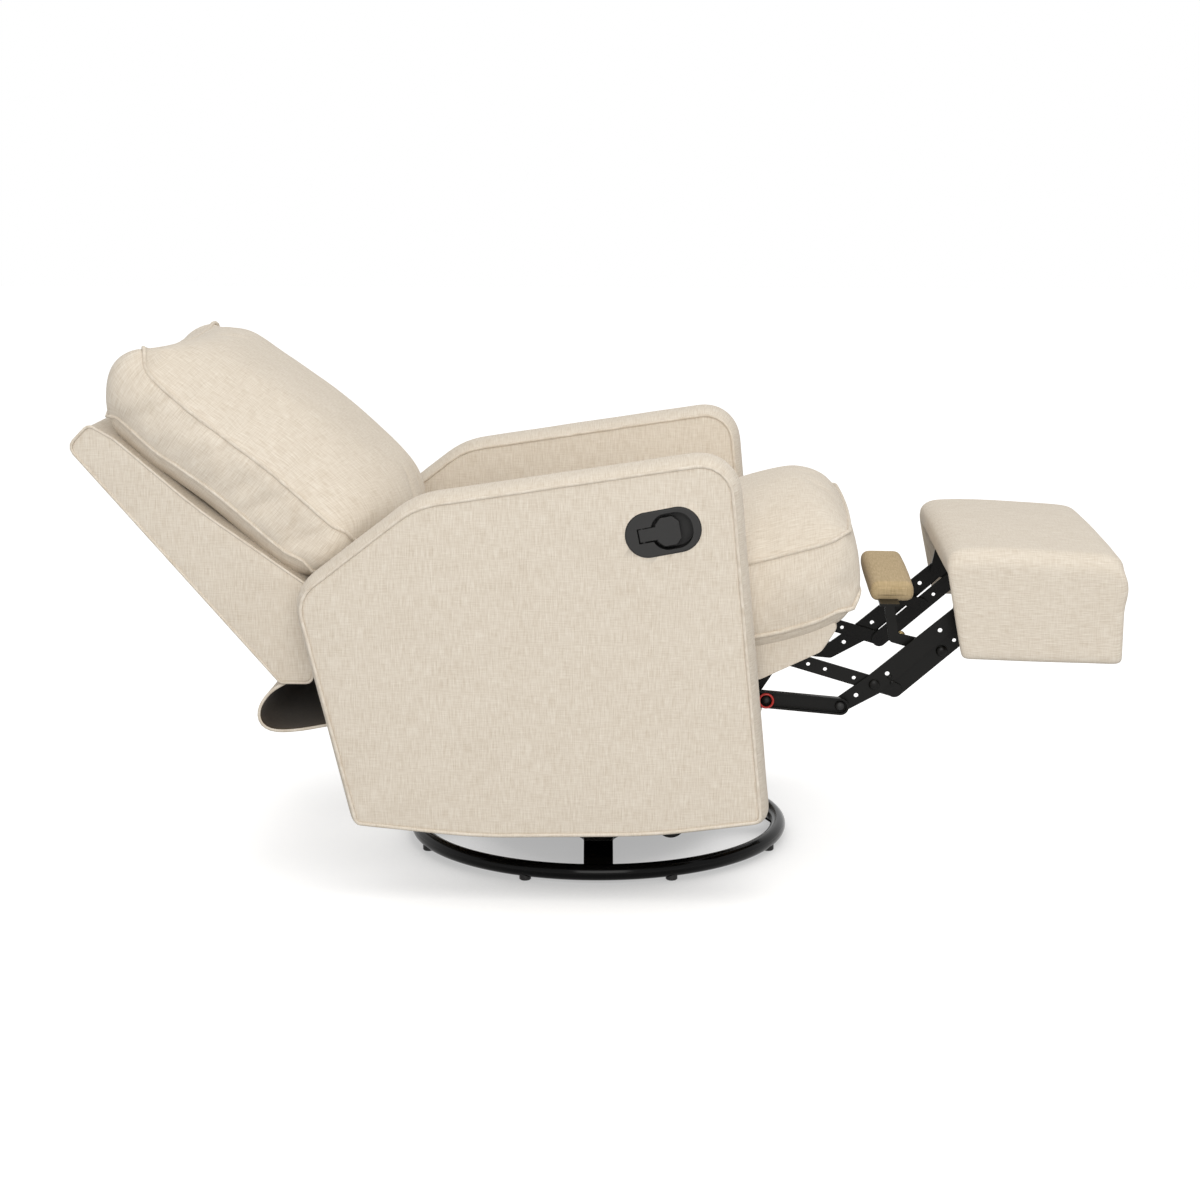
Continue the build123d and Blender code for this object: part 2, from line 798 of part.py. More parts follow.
cushion_shares = (-1.0, -0.94, -0.7, -0.35, 0.0, 0.35, 0.7, 0.94, 1.0)
with BuildPart() as seat_cushion:
    for x, crown, inset in cushion_stations(seat_half - cushion_inset):
        front_low = moved(cushion_front_low, inset, soft_gap + inset)
        front_high = moved(cushion_front_high, inset, front_rise * crown - inset)
        brow = moved(cushion_brow, 0, brow_rise * crown - inset)
        rear_high = moved(cushion_rear_high, -inset, rear_rise * crown - inset)
        rear_low = moved(cushion_rear_low, -inset, soft_gap + inset)
        knee = moved(cushion_knee, 0, soft_gap + inset)
        with BuildSketch(Plane.YZ.offset(x)):
            with BuildLine():
                ThreePointArc(front_low, moved(cushion_nose, inset, 0), front_high)
                ThreePointArc(front_high, moved(cushion_fore, 0, fore_rise * crown - inset), brow)
                ThreePointArc(brow, moved(cushion_hollow, 0, hollow_rise * crown - inset), rear_high)
                ThreePointArc(rear_high, moved(cushion_heel, -inset, 0), rear_low)
                Line(rear_low, knee)
                ThreePointArc(knee, moved(cushion_bend, 0, soft_gap + inset), front_low)
            make_face()
    loft()
finish(seat_cushion, "seat_cushion")

tail_half = seat_half - tail_inset
tail_start = (box_rear + soft_gap, box_top_rear - tail_drop)
with BuildPart() as seat_tail:
    with BuildSketch(Plane.YZ.offset(-tail_half)):
        with BuildLine():
            under_start = (tail_start[0], tail_start[1] - tail_thickness)
            under_end = (tail_end[0], tail_end[1] - tail_thickness)
            nose = (tail_end[0] + tail_thickness / 2, tail_end[1] - tail_thickness / 2)
            Polyline(under_end, under_start, tail_start, tail_end)
            ThreePointArc(tail_end, nose, under_end)
        make_face()
    extrude(amount=2 * tail_half)
finish(seat_tail, "seat_tail")


# Back: wooden ladder frame, steel brackets, padded shell, pillow and lumbar pad
def back_plane(x):
    """Station across the back: local x runs up the back, local y towards the sitter."""
    lean = radians(back_lean)
    return Plane((x, *back_origin), x_dir=(0, cos(lean), sin(lean)), z_dir=(1, 0, 0))


def bracket_outline(growth):
    """The bent steel bracket from the back's pivot up its frame."""
    hull((back_pivot, bracket_pivot_half + growth), (bracket_bend, bracket_bend_half + growth))
    hull((bracket_bend, bracket_bend_half + growth), (bracket_end, bracket_end_half + growth))


bracket_inner = mech_inner + 3 * layer_pitch
stile_inner = bracket_inner + link_plate
stile_middle = (stile_front + stile_rear) / 2
stile_depth = stile_front - stile_rear
with BuildPart() as back_stiles:
    with BuildSketch(back_plane(stile_inner)):
        with Locations(((stile_low + stile_high) / 2, stile_middle)):
            Rectangle(stile_high - stile_low, stile_depth)
    extrude(amount=stile_width)
    mirror(about=Plane.YZ)
finish(back_stiles, "back_stiles")

rail_places = (stile_low + frame_rail / 2, middle_rail, stile_high - frame_rail / 2)
with BuildPart() as back_rails:
    with BuildSketch(back_plane(-stile_inner)):
        for rail_place in rail_places:
            with Locations((rail_place, stile_middle)):
                Rectangle(frame_rail, stile_depth)
    extrude(amount=2 * stile_inner)
    for notch_plane in (layer(3), layer(3).offset(-2 * bracket_inner - link_plate)):
        with BuildSketch(notch_plane):
            bracket_outline(soft_gap)
        extrude(amount=link_plate, mode=Mode.SUBTRACT)
finish(back_rails, "back_rails")

with BuildPart() as back_brackets:
    with BuildSketch(layer(3)):
        bracket_outline(0.0)
        holes(back_pin + running_clearance, back_pivot)
    extrude(amount=link_plate)
    mirror(about=Plane.YZ)
finish(back_brackets, "back_brackets")

with BuildPart() as back_shell:
    with BuildSketch(Plane.YZ.offset(-shell_half)) as shell_side:
        with BuildLine():
            Polyline(shell_low_front, shell_throat, shell_low_rear, shell_top_rear)
            Polyline(shell_top_rear, shell_crest, shell_top_front)
            ThreePointArc(shell_top_front, shell_sag, shell_low_front)
        make_face()
        fillet(shell_side.vertices().sort_by_distance(shell_crest)[0], shell_crest_round)
        fillet(shell_side.vertices().sort_by_distance(shell_top_rear)[0], shell_corner_round)
    extrude(amount=2 * shell_half)
    with BuildSketch(back_plane(-shell_half + shell_wall)):
        with BuildLine():
            Polyline(
                (hollow_foot, hollow_front),
                (hollow_foot, hollow_foot_rear),
                moved(hollow_bend, 0, shell_wall),
                moved(hollow_top, 0, shell_wall),
                (hollow_top[0], hollow_front),
                (hollow_foot, hollow_front),
            )
        make_face()
    extrude(amount=2 * (shell_half - shell_wall), mode=Mode.SUBTRACT)
finish(back_shell, "back_shell")

with BuildPart() as back_pillow:
    for x, crown, inset in cushion_stations(pillow_half):
        rear_low = moved(pillow_rear_low, inset, inset)
        rear_high = moved(pillow_rear_high, -inset, inset)
        crest = moved(pillow_crest, -inset, crest_rise * crown - inset)
        swell = moved(pillow_swell, 0, swell_rise * crown - inset)
        chin = moved(pillow_chin, inset - chin_drop * crown, chin_rise * crown - inset)
        throat = moved(pillow_throat, inset - throat_drop * crown, throat_rise * crown)
        with BuildSketch(back_plane(x)):
            with BuildLine():
                ThreePointArc(rear_low, moved(pillow_rear_belly, 0, inset - belly_rise * crown), rear_high)
                ThreePointArc(rear_high, moved(pillow_top, -inset, 0), crest)
                ThreePointArc(crest, moved(pillow_shoulder, 0, shoulder_rise * crown - inset), swell)
                ThreePointArc(swell, moved(pillow_waist, 0, waist_rise * crown - inset), chin)
                ThreePointArc(chin, throat, rear_low)
            make_face()
    loft()
    with BuildSketch(back_plane(-mech_inner)):
        core_front = pillow_rear_low[1] + edge_inset
        core_rear = stile_front + soft_gap
        with Locations((pillow_core, (core_front + core_rear) / 2)):
            Rectangle(pillow_core_length, core_front - core_rear)
    extrude(amount=2 * mech_inner)
finish(back_pillow, "back_pillow")

lumbar_half = shell_half - shell_wall - lumbar_inset
with BuildPart() as lumbar_pad:
    for x, crown, inset in cushion_stations(lumbar_half):
        rear_low = moved(lumbar_rear_low, inset, 0)
        rear_high = moved(lumbar_rear_high, -inset, 0)
        top = moved(lumbar_top, -inset - lumbar_top_drop * crown, lumbar_top_rise * crown)
        front_drop = inset + lumbar_front_drop * crown
        front_high = moved(lumbar_front_high, -front_drop, lumbar_front_rise * crown - inset)
        swell = moved(lumbar_swell, 0, lumbar_swell_rise * crown - inset)
        front_low = moved(lumbar_front_low, inset, -inset)
        with BuildSketch(back_plane(x)):
            with BuildLine():
                Line(rear_low, rear_high)
                ThreePointArc(rear_high, top, front_high)
                ThreePointArc(front_high, swell, front_low)
                ThreePointArc(front_low, moved(lumbar_sole, inset, 0), rear_low)
            make_face()
    loft()
    with BuildSketch(back_plane(-mech_inner)):
        core_front = lumbar_rear_high[1] + core_lap
        core_rear = stile_front + 2 * soft_gap
        with Locations((lumbar_core, (core_front + core_rear) / 2)):
            Rectangle(lumbar_core_length, core_front - core_rear)
    extrude(amount=2 * mech_inner)
finish(lumbar_pad, "lumbar_pad")

# Rear skirt: a cloth sling from the back's lower edge to the rear cross rail
with BuildPart() as rear_skirt:
    with BuildSketch(Plane.YZ.offset(-skirt_half)):
        with BuildLine():
            top = Line(skirt_lip, skirt_fall)
            turn_top = TangentArc(top @ 1, skirt_bulge, tangent=top % 1)
            turn_low = TangentArc(turn_top @ 1, skirt_sole, tangent=turn_top % 1)
            run = Line(turn_low @ 1, skirt_run)
            Line(run @ 1, (rear_rail_front + rear_rail_depth + cloth / 2 + soft_gap, skirt_hem))
            offset(amount=cloth / 2)
        make_face()
    extrude(amount=2 * skirt_half)
finish(rear_skirt, "rear_skirt")

# Footrest linkage, one set of flat links on each side
with BuildPart() as drive_links:
    with BuildSketch(layer(3)):
        hull((pivot_drive, drive_half), (joint_drive, drive_half))
    extrude(amount=drive_depth)
    with BuildSketch(layer(3).offset(link_plate)):
        hull((pivot_drive, drive_half - drive_wall), (joint_drive, drive_half - drive_wall))
    extrude(amount=drive_depth, mode=Mode.SUBTRACT)
    studs(layer(3).offset(link_plate), rivet_height, joint_drive, radius=rivet_radius)
    with BuildSketch(layer(3)):
        with Locations(pivot_drive):
            Circle(stud + running_clearance)
    extrude(amount=drive_depth, mode=Mode.SUBTRACT)
    mirror(about=Plane.YZ)
finish(drive_links, "footrest_drive_links")

with BuildPart() as swing_links:
    with BuildSketch(layer(1)):
        hull((pivot_swing, link_half), (joint_tail, link_half))
        holes(stud + running_clearance, pivot_swing)
        for place in swing_holes:
            holes(link_hole, point_on(pivot_swing, joint_cross, place))
    extrude(amount=link_plate)
    studs(layer(1).offset(link_plate), layer_pitch, joint_cross)
    studs(layer(1), -layer_pitch, joint_tail)
    mirror(about=Plane.YZ)
finish(swing_links, "footrest_swing_links")

with BuildPart() as cross_links:
    with BuildSketch(layer(2)):
        hull((joint_drive, cross_end_half), (joint_cross, cross_boss))
        hull((joint_cross, cross_boss), (joint_foot, cross_half))
        holes(stud + running_clearance, joint_cross)
        holes(boss_hole, point_on(joint_drive, joint_cross, cross_low_hole))
        for place in cross_holes:
            holes(boss_hole, point_on(joint_cross, joint_foot, place))
    extrude(amount=link_plate)
    studs(layer(2), -layer_pitch, joint_foot)
    mirror(about=Plane.YZ)
finish(cross_links, "footrest_cross_links")

with BuildPart() as outer_links:
    with BuildSketch(layer(0)):
        hull((joint_tail, outer_half), (joint_tip, outer_half))
        holes(stud + running_clearance, joint_tail)
        holes(stud + open_pivot_clearance, joint_tip)
        holes(link_hole, point_on(joint_tail, joint_tip, outer_hole))
    extrude(amount=link_plate)
    studs(layer(0), -layer_pitch, flap_pivot)
    mirror(about=Plane.YZ)
finish(outer_links, "footrest_outer_links")

board_floor = hood_top - hood_pad - hood_board - 2 * soft_gap
with BuildPart() as foot_brackets:
    with BuildSketch(layer(1)):
        rear_corner = (joint_foot[0] + foot_rear, board_floor - foot_corner)
        front_corner = (foot_front, board_floor - foot_corner)
        seat_corners = ((rear_corner, foot_corner), (front_corner, foot_corner))
        hull((joint_foot, foot_boss), (joint_tip, foot_boss), *seat_corners)
        holes(stud + running_clearance, joint_foot)
    extrude(amount=link_plate)
    with BuildSketch(layer(1)):
        with Locations((foot_seat_middle, board_floor - foot_seat_thickness / 2)):
            Rectangle(foot_seat_length, foot_seat_thickness)
    extrude(amount=foot_seat_width)
    studs(layer(1), -layer_pitch, joint_tip)
    mirror(about=Plane.YZ)
finish(foot_brackets, "footrest_brackets")

# Footrest: board and padded hood with side flaps
with BuildPart() as foot_board:
    with BuildSketch(Plane.YZ.offset(-hood_half + hood_wall + board_inset)):
        with Locations(((hood_toe + hood_heel) / 2, board_floor + hood_board / 2)):
            Rectangle(hood_heel - hood_toe - 2 * board_margin, hood_board)
    extrude(amount=2 * (hood_half - hood_wall - board_inset))
finish(foot_board, "footrest_board")

hood_side = ((-1.0, 1.0), (-0.97, 0.42), (-0.9, 0.12))
hood_stations = (*hood_side, (0.0, -0.12), *((-share, fall) for share, fall in reversed(hood_side)))
with BuildPart() as foot_hood:
    for share, fall in hood_stations:
        drop = fall * hood_round
        heel = (hood_heel - hood_heel_lean * drop, hood_heel_high - drop)
        heel_top = moved(hood_heel_top, 0, -drop)
        toe_top = moved(hood_toe_top, hood_toe, -drop)
        toe = (hood_toe, hood_toe_high - drop)
        with BuildSketch(Plane.YZ.offset(share * hood_half)):
            with BuildLine():
                Polyline(heel, (hood_heel_foot, hood_skirt), (hood_toe, hood_skirt), toe)
                ThreePointArc(toe, moved(hood_toe_round, hood_toe, -drop), toe_top)
                ThreePointArc(toe_top, (hood_middle, hood_top - drop), heel_top)
                ThreePointArc(heel_top, moved(hood_heel_round, 0, -drop), heel)
            make_face()
    loft()
    hood_ceiling = hood_top - hood_pad - soft_gap
    with BuildSketch(Plane.YZ.offset(-hood_half + hood_wall)):
        with Locations((hood_toe + hood_wall, hood_ceiling)):
            inside = (hood_heel - hood_toe - hood_wall + hood_slack, hood_ceiling - hood_skirt + hood_slack)
            Rectangle(*inside, align=(Align.MIN, Align.MAX))
    extrude(amount=2 * (hood_half - hood_wall), mode=Mode.SUBTRACT)
    with BuildSketch(Plane.XZ.offset(-hood_toe - hood_wall - soft_gap)):
        with Locations((0, hood_top - hood_lip)):
            mouth = (2 * (hood_half - hood_wall), hood_top - hood_lip - hood_skirt + hood_slack)
            Rectangle(*mouth, align=(Align.CENTER, Align.MAX))
    extrude(amount=hood_wall + hood_slack, mode=Mode.SUBTRACT)
finish(foot_hood, "footrest_hood")

# Middle flap: small pad on two bent brackets
flap_inner = mech_inner - layer_pitch
flap_half = mech_inner - flap_pad_inset
flap_floor = flap_centre[1] - flap_thickness / 2
with BuildPart() as flap_brackets:
    with BuildSketch(Plane.YZ.offset(flap_inner)):
        stem_head = (flap_centre[0], flap_floor - flap_stem_half)
        hull((flap_pivot, flap_boss), (stem_foot, flap_stem_half))
        hull((stem_foot, flap_stem_half), (stem_head, flap_stem_half))
        holes(stud + running_clearance, flap_pivot)
    extrude(amount=link_plate)
    with BuildSketch(Plane.YZ.offset(flap_inner + link_plate)):
        with Locations((flap_centre[0], flap_floor - flap_seat_thickness / 2)):
            Rectangle(flap_seat_length, flap_seat_thickness)
    extrude(amount=-(flap_inner + link_plate - flap_half + flap_seat_length))
    mirror(about=Plane.YZ)
finish(flap_brackets, "middle_flap_brackets")

with BuildPart() as flap_pad:
    with BuildSketch(Plane.YZ.offset(-flap_half)) as flap_side:
        with Locations(flap_centre):
            RectangleRounded(flap_depth, flap_thickness - 2 * soft_gap, flap_round)
    extrude(amount=2 * flap_half)
    fillet(flap_pad.faces().filter_by(Axis.X).edges(), flap_end_round)
finish(flap_pad, "middle_flap_pad")
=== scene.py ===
# %% [markdown]
# # A swivel glider recliner, reclined with its footrest out
# The chair is mostly cloth over foam: two padded arms, a boxed seat cushion, a loose back
# pillow, a thin upholstered shell behind it and a hood that hides the footrest's linkage.
# The steel and the plastic come from the construction model and keep their shape here.
# This lesson sews the covers, one kind of piece at a time, and gives every surface its finish.

# %% Load the construction frame
from math import cos, pi, radians, sin

import bmesh
import bpy
from mathutils import Matrix, Vector, noise


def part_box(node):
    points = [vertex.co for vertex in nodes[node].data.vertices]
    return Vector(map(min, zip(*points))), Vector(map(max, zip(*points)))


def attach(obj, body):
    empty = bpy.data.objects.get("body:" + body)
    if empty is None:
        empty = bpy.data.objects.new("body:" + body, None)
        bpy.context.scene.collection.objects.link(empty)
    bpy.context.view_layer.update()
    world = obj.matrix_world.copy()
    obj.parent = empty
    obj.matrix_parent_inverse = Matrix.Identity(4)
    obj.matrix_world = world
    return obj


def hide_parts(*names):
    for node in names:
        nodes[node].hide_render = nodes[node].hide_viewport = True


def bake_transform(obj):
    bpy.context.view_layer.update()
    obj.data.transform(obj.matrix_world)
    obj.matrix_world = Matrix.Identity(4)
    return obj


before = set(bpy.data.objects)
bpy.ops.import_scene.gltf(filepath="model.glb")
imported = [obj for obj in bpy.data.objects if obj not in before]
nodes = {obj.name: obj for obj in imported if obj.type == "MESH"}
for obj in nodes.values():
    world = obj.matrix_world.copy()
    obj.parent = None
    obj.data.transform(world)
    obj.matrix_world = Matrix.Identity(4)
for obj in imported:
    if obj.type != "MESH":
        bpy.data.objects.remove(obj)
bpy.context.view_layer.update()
scene = bpy.context.scene

# %% [markdown]
# ## Camera
# The chair was photographed from its handle side, a little above arm height and from some way
# off, so the sides look almost square on. The camera is placed by its own three directions,
# because a rotation in angles would hide which way it looks.

# %% Place the camera
camera_place = Vector((-3.857, -0.203, 1.1109))
camera_yaw = 0.0519
camera_pitch = 0.1859
focal_pixels = 2437.4
photo_pixels = 1200
sensor = 36.0


def add_object(name, data):
    """A new object in the scene."""
    added = bpy.data.objects.new(name, data)
    scene.collection.objects.link(added)
    return added


level = cos(camera_pitch)
ahead = Vector((cos(camera_yaw) * level, sin(camera_yaw) * level, -sin(camera_pitch)))
rightward = Vector((sin(camera_yaw), -cos(camera_yaw), 0.0))
upward = rightward.cross(ahead)
camera_data = bpy.data.cameras.new("side_camera")
camera_data.sensor_width = sensor
camera_data.lens = sensor * focal_pixels / photo_pixels
camera = add_object("side_camera", camera_data)
turned = Matrix((rightward, upward, -ahead)).transposed().to_4x4()
camera.matrix_world = Matrix.Translation(camera_place) @ turned
scene.camera = camera
print("lens", round(camera_data.lens, 2), "mm")

# %% [markdown]
# ## Shader helpers
# The room, the floor and every finish are small nets of shader nodes. They could be placed and
# linked one line at a time, but then it is hard to see what feeds what. These helpers make a node,
# fill its sockets and link them in one call, so a finish reads like a formula.

# %% Shader helpers
def plug(node, *values, **named):
    """Give a node's sockets their values, or a link where the value is another node's socket."""
    sockets = list(zip(node.inputs, values))
    sockets += [(node.inputs[key.replace("_", " ")], value) for key, value in named.items()]
    for socket, value in sockets:
        if isinstance(value, bpy.types.NodeSocket):
            node.id_data.links.new(value, socket)
        else:
            socket.default_value = value


def wire(tree, kind, *values, **named):
    """A new shader node; a name that isn't one of its settings is one of its sockets."""
    node = tree.nodes.new("ShaderNode" + kind)
    for key in [key for key in named if hasattr(node, key)]:
        setattr(node, key, named.pop(key))
    plug(node, *values, **named)
    return node.outputs[0]


def ramp(source, low, high):
    """A colour ramp between two stops, each (place, colour)."""
    shade = wire(source.id_data, "ValToRGB", source)
    for stop, (place, colour) in zip(shade.node.color_ramp.elements, (low, high)):
        stop.position = place
        stop.color = (*colour, 1.0)
    return shade


def new_finish(name):
    """A new material, with its node tree and its surface node."""
    finish = bpy.data.materials.new(name)
    finish.use_nodes = True
    return finish, finish.node_tree, finish.node_tree.nodes["Principled BSDF"]


print("shader helpers ready")

# %% [markdown]
# ## Studio
# Pale cloth needs even light, or its weave and its shallow dents vanish. A white room gives the
# base level, one broad warm lamp overhead models the crowns of the cushions, and one far off
# beside the camera keeps the near side and the inside of the far arm open. The floor shows white
# to the camera. It could simply be lit until it is white, but then its shadow goes too, so it
# also darkens under whatever is close above it, which an ambient occlusion node measures.

# %% Light the studio
white = (1.0, 1.0, 1.0)
room_light = 0.64
room_colour = (1.0, 0.99, 0.975, 1.0)
floor_side = 30.0
floor_colour = (0.5, 0.5, 0.5, 1.0)
floor_glow = 0.75
floor_shade = 0.58
# Painted shadow on the floor: how far it looks for things above, its rays, its darkest grey and its span.
contact_reach = 0.30
contact_rays = 12
painted_shadow_dark = (0.54, 0.54, 0.54)
contact_span = (0.15, 0.95)


def seen_directly(tree):
    """A socket that is 1 for rays from the camera, or from a mirror or glass, and 0 for light."""
    path = tree.nodes.new("ShaderNodeLightPath").outputs
    seen = path["Is Camera Ray"]
    for kind in ("Is Glossy Ray", "Is Transmission Ray"):
        seen = wire(tree, "Math", seen, path[kind], operation="MAXIMUM")
    return seen


def light_room():
    """A white room that lights softly and shows white."""
    scene.world = bpy.data.worlds.new("studio")
    scene.world.use_nodes = True
    tree = scene.world.node_tree
    shown = tree.nodes["Background"]
    plug(shown, (*white, 1.0), 1.0)
    lighting = wire(tree, "Background", room_colour, room_light)
    mix = wire(tree, "MixShader", seen_directly(tree), lighting, shown.outputs[0])
    plug(tree.nodes["World Output"], mix)


def soft_lamp(name, place, aim, size, watts, colour):
    """A broad square lamp turned towards a point."""
    data = bpy.data.lights.new(name, "AREA")
    data.size = size
    data.energy = watts
    data.color = colour
    lamp = add_object(name, data)
    lamp.location = place
    lamp.rotation_euler = (Vector(aim) - Vector(place)).to_track_quat("-Z", "Y").to_euler()


def lay_floor():
    """A wide floor that shows white to the camera, takes the chair's shadow and has painted shadow under what
    is close above it.
    """
    bpy.ops.mesh.primitive_plane_add(size=floor_side)
    floor = bpy.context.object
    floor.name = "studio_floor"
    paint, tree, surface = new_finish("studio_floor")
    tree.nodes.remove(surface)
    # Painted shadow: an ambient occlusion ramp darkens the floor's glow and lit colour under what is close
    # above it.
    near = wire(tree, "AmbientOcclusion", samples=contact_rays, Distance=contact_reach)
    contact = ramp(near.node.outputs["AO"], (contact_span[0], painted_shadow_dark), (contact_span[1], white))
    layers = []
    for kind, share in (("Emission", floor_glow), ("BsdfDiffuse", floor_shade)):
        tint = wire(tree, "VectorMath", contact, operation="SCALE", Scale=share)
        layers.append(wire(tree, kind, tint))
    lit = wire(tree, "AddShader", *layers)
    matt = wire(tree, "BsdfDiffuse", floor_colour)
    mix = wire(tree, "MixShader", seen_directly(tree), matt, lit)
    plug(tree.nodes["Material Output"], mix)
    floor.data.materials.append(paint)


scene.view_settings.view_transform = "Standard"
light_room()
lay_floor()
soft_lamp("overhead", (-0.8, -0.6, 3.2), aim=(0.0, 0.0, 0.4), size=2.4, watts=20.0, colour=(1.0, 0.95, 0.86))
soft_lamp(
    "beside_camera", (-6.5, -0.6, 2.4), aim=(0.0, 0.0, 0.45), size=3.6, watts=190.0, colour=(1.0, 0.985, 0.96)
)
print("studio lit")

# %% [markdown]
# ## Cloth finish
# The cover is a linen-look weave: slubby threads in two directions, paler and darker by a few
# percent, with a little fuzz. An image would be the usual way, but a weave is regular enough to
# build from stretched noise. It reads a coordinate layer in metres that each cover is sewn
# with, so a thread is as wide on the arms as on the cushions.

# %% Weave the oatmeal cloth
thread = 1.0 / 900.0
thread_run = 16
mottle_pitch = 16.0
tone_span = (0.375, 0.625)
weave_relief = 0.35
weave_depth = 0.0006


def stretched_noise(source, scale, detail):
    """Noise drawn out along one direction of the source coordinate."""
    drawn = wire(source.id_data, "Mapping", Vector=source, Scale=scale)
    return wire(source.id_data, "TexNoise", Vector=drawn, Scale=1.0, Detail=detail)


def weighed(*shares):
    """The sum of sockets, each given as (socket, weight)."""
    total = 0.0
    for socket, weight in shares:
        total = wire(socket.id_data, "Math", socket, weight, total, operation="MULTIPLY_ADD")
    return total


def cloth_finish(name, dark, light, sewn=True):
    """A slubby plain weave between two close colours; piping, which isn't sewn flat, uses its place."""
    finish, tree, surface = new_finish(name)
    if sewn:
        place = wire(tree, "UVMap", uv_map="cloth")
    else:
        place = tree.nodes.new("ShaderNodeTexCoord").outputs["Object"]
    pitch = 1.0 / thread
    warp = stretched_noise(place, (pitch, pitch / thread_run, pitch / thread_run), 2.0)
    weft = stretched_noise(place, (pitch / thread_run, pitch, pitch / thread_run), 2.0)
    slubs = stretched_noise(place, (pitch / 1.5, pitch / 22, pitch / 8), 3.0)
    crossing = stretched_noise(place, (pitch / 18, pitch / 1.7, pitch / 8), 3.0)
    mottle = stretched_noise(place, (mottle_pitch,) * 3, 2.0)
    tone = weighed((slubs, 0.34), (crossing, 0.20), (warp, 0.24), (weft, 0.16), (mottle, 0.06))
    shade = ramp(tone, (tone_span[0], dark), (tone_span[1], light))
    threads = weighed((warp, 0.4), (weft, 0.3), (slubs, 0.3))
    relief = wire(tree, "Bump", Strength=weave_relief, Distance=weave_depth, Height=threads)
    plug(surface, Base_Color=shade, Normal=relief, Roughness=0.93, Specular_IOR_Level=0.18)
    plug(surface, Sheen_Weight=0.12, Sheen_Roughness=0.55)
    return finish


oatmeal_dark = (0.615, 0.535, 0.435)
oatmeal_light = (0.815, 0.755, 0.665)
oatmeal = cloth_finish("oatmeal_linen", oatmeal_dark, oatmeal_light)
piping_cloth = cloth_finish("oatmeal_piping", oatmeal_dark, oatmeal_light, sewn=False)
tan_cloth = cloth_finish("tan_linen", (0.42, 0.315, 0.168), (0.64, 0.505, 0.31))
webbing = cloth_finish("black_webbing", (0.012, 0.012, 0.012), (0.035, 0.035, 0.034))
# Painted shade: the skirt's inner face is a dark brown copy of the cloth, for the shade inside its loop.
skirt_inside_shade = cloth_finish("painted_shade_skirt_inside", (0.045, 0.030, 0.017), (0.085, 0.060, 0.036))
print("cloths woven")

# %% [markdown]
# ## Metal, plastic and wood
# The linkage is stamped plate under black powder coat. Stamped plate has a tiny round on every
# edge that catches the light, so the finish rounds its normals there, and the coat has a fine
# orange peel. The handle is a moulded plastic with a leathery grain; the hidden wood is raw.

# %% Mix the hard finishes
patch_pitch = 14.0
patch_stops = ((0.3, 0.75), (0.7, 1.25))
edge_round = 0.0008
grain_depth = 0.0003


def hard_finish(name, colour, roughness, grain, grain_size, metallic=0.0, shine=0.5):
    """A plain colour with rounded edges, a fine grain and uneven gloss."""
    finish, tree, surface = new_finish(name)
    place = tree.nodes.new("ShaderNodeTexCoord").outputs["Object"]
    patches = stretched_noise(place, (patch_pitch,) * 3, 4.0)
    shade = ramp(patches, *((stop, [share * c for c in colour]) for stop, share in patch_stops))
    gloss = wire(tree, "MapRange", patches, To_Min=roughness - 0.08, To_Max=roughness + 0.10)
    edge = wire(tree, "Bevel", edge_round, samples=4)
    speckle = stretched_noise(place, (1 / grain_size,) * 3, 2.0)
    relief = wire(tree, "Bump", Strength=grain, Distance=grain_depth, Height=speckle, Normal=edge)
    plug(surface, Base_Color=shade, Roughness=gloss, Normal=relief)
    plug(surface, Metallic=metallic, Specular_IOR_Level=shine)
    return finish


def wood_finish():
    """Raw batten with long grain."""
    finish = hard_finish("raw_batten", (0.42, 0.29, 0.16), 0.7, 0.2, 0.002)
    tree = finish.node_tree
    place = tree.nodes.new("ShaderNodeTexCoord").outputs["Object"]
    rings = stretched_noise(place, (6.0, 160.0, 160.0), 5.0)
    shade = ramp(rings, (0.0, (0.30, 0.19, 0.10)), (1.0, (0.62, 0.47, 0.29)))
    plug(tree.nodes["Principled BSDF"], Base_Color=shade)
    return finish


black_steel = hard_finish("black_powder_coat", (0.0040, 0.0038, 0.0032), 0.32, 0.14, 0.0011, shine=0.15)
ring_steel = hard_finish("black_ring_enamel", (0.0008, 0.0008, 0.0009), 0.12, 0.04, 0.002, shine=0.12)
black_plastic = hard_finish("black_moulding", (0.0125, 0.0122, 0.0120), 0.48, 0.55, 0.0007, shine=0.32)
bare_steel = hard_finish("zinc_plate", (0.50, 0.50, 0.51), 0.36, 0.1, 0.001, metallic=1.0)
bronze_steel = hard_finish("yellow_zinc", (0.42, 0.32, 0.15), 0.36, 0.1, 0.001, metallic=1.0)
red_plastic = hard_finish("red_washer", (0.50, 0.028, 0.02), 0.35, 0.05, 0.001)
raw_wood = wood_finish()
print("hard finishes mixed")

# %% [markdown]
# Each construction node that stays in sight now takes its finish. The ones made of cloth are
# replaced further down by sewn covers.

# %% Dress the construction nodes
wooden = (
    "arm_sills", "arm_mounting_blocks", "rear_cross_rail", "back_stiles", "back_rails", "footrest_board",
)
moulded = ("handle_cup", "handle_lever", "floor_glides", "swivel_bearing_ring")
zinced = ("king_bolt",)
enamelled = ("base_ring", "base_spider")
coats = ((wooden, raw_wood), (moulded, black_plastic), (zinced, bare_steel), (enamelled, ring_steel))
for name, node in nodes.items():
    finish = black_steel
    for group, coat in coats:
        if name in group:
            finish = coat
    node.data.materials.clear()
    node.data.materials.append(finish)
print("dressed", len(nodes), "nodes")

# %% [markdown]
# ## Sewing
# A cover is panels joined at seams. The helper below keeps the points, the faces and the flat
# coordinate of each corner, so the weave runs true on each panel. Every piece is then closed,
# smoothed and set on the body that carries it.

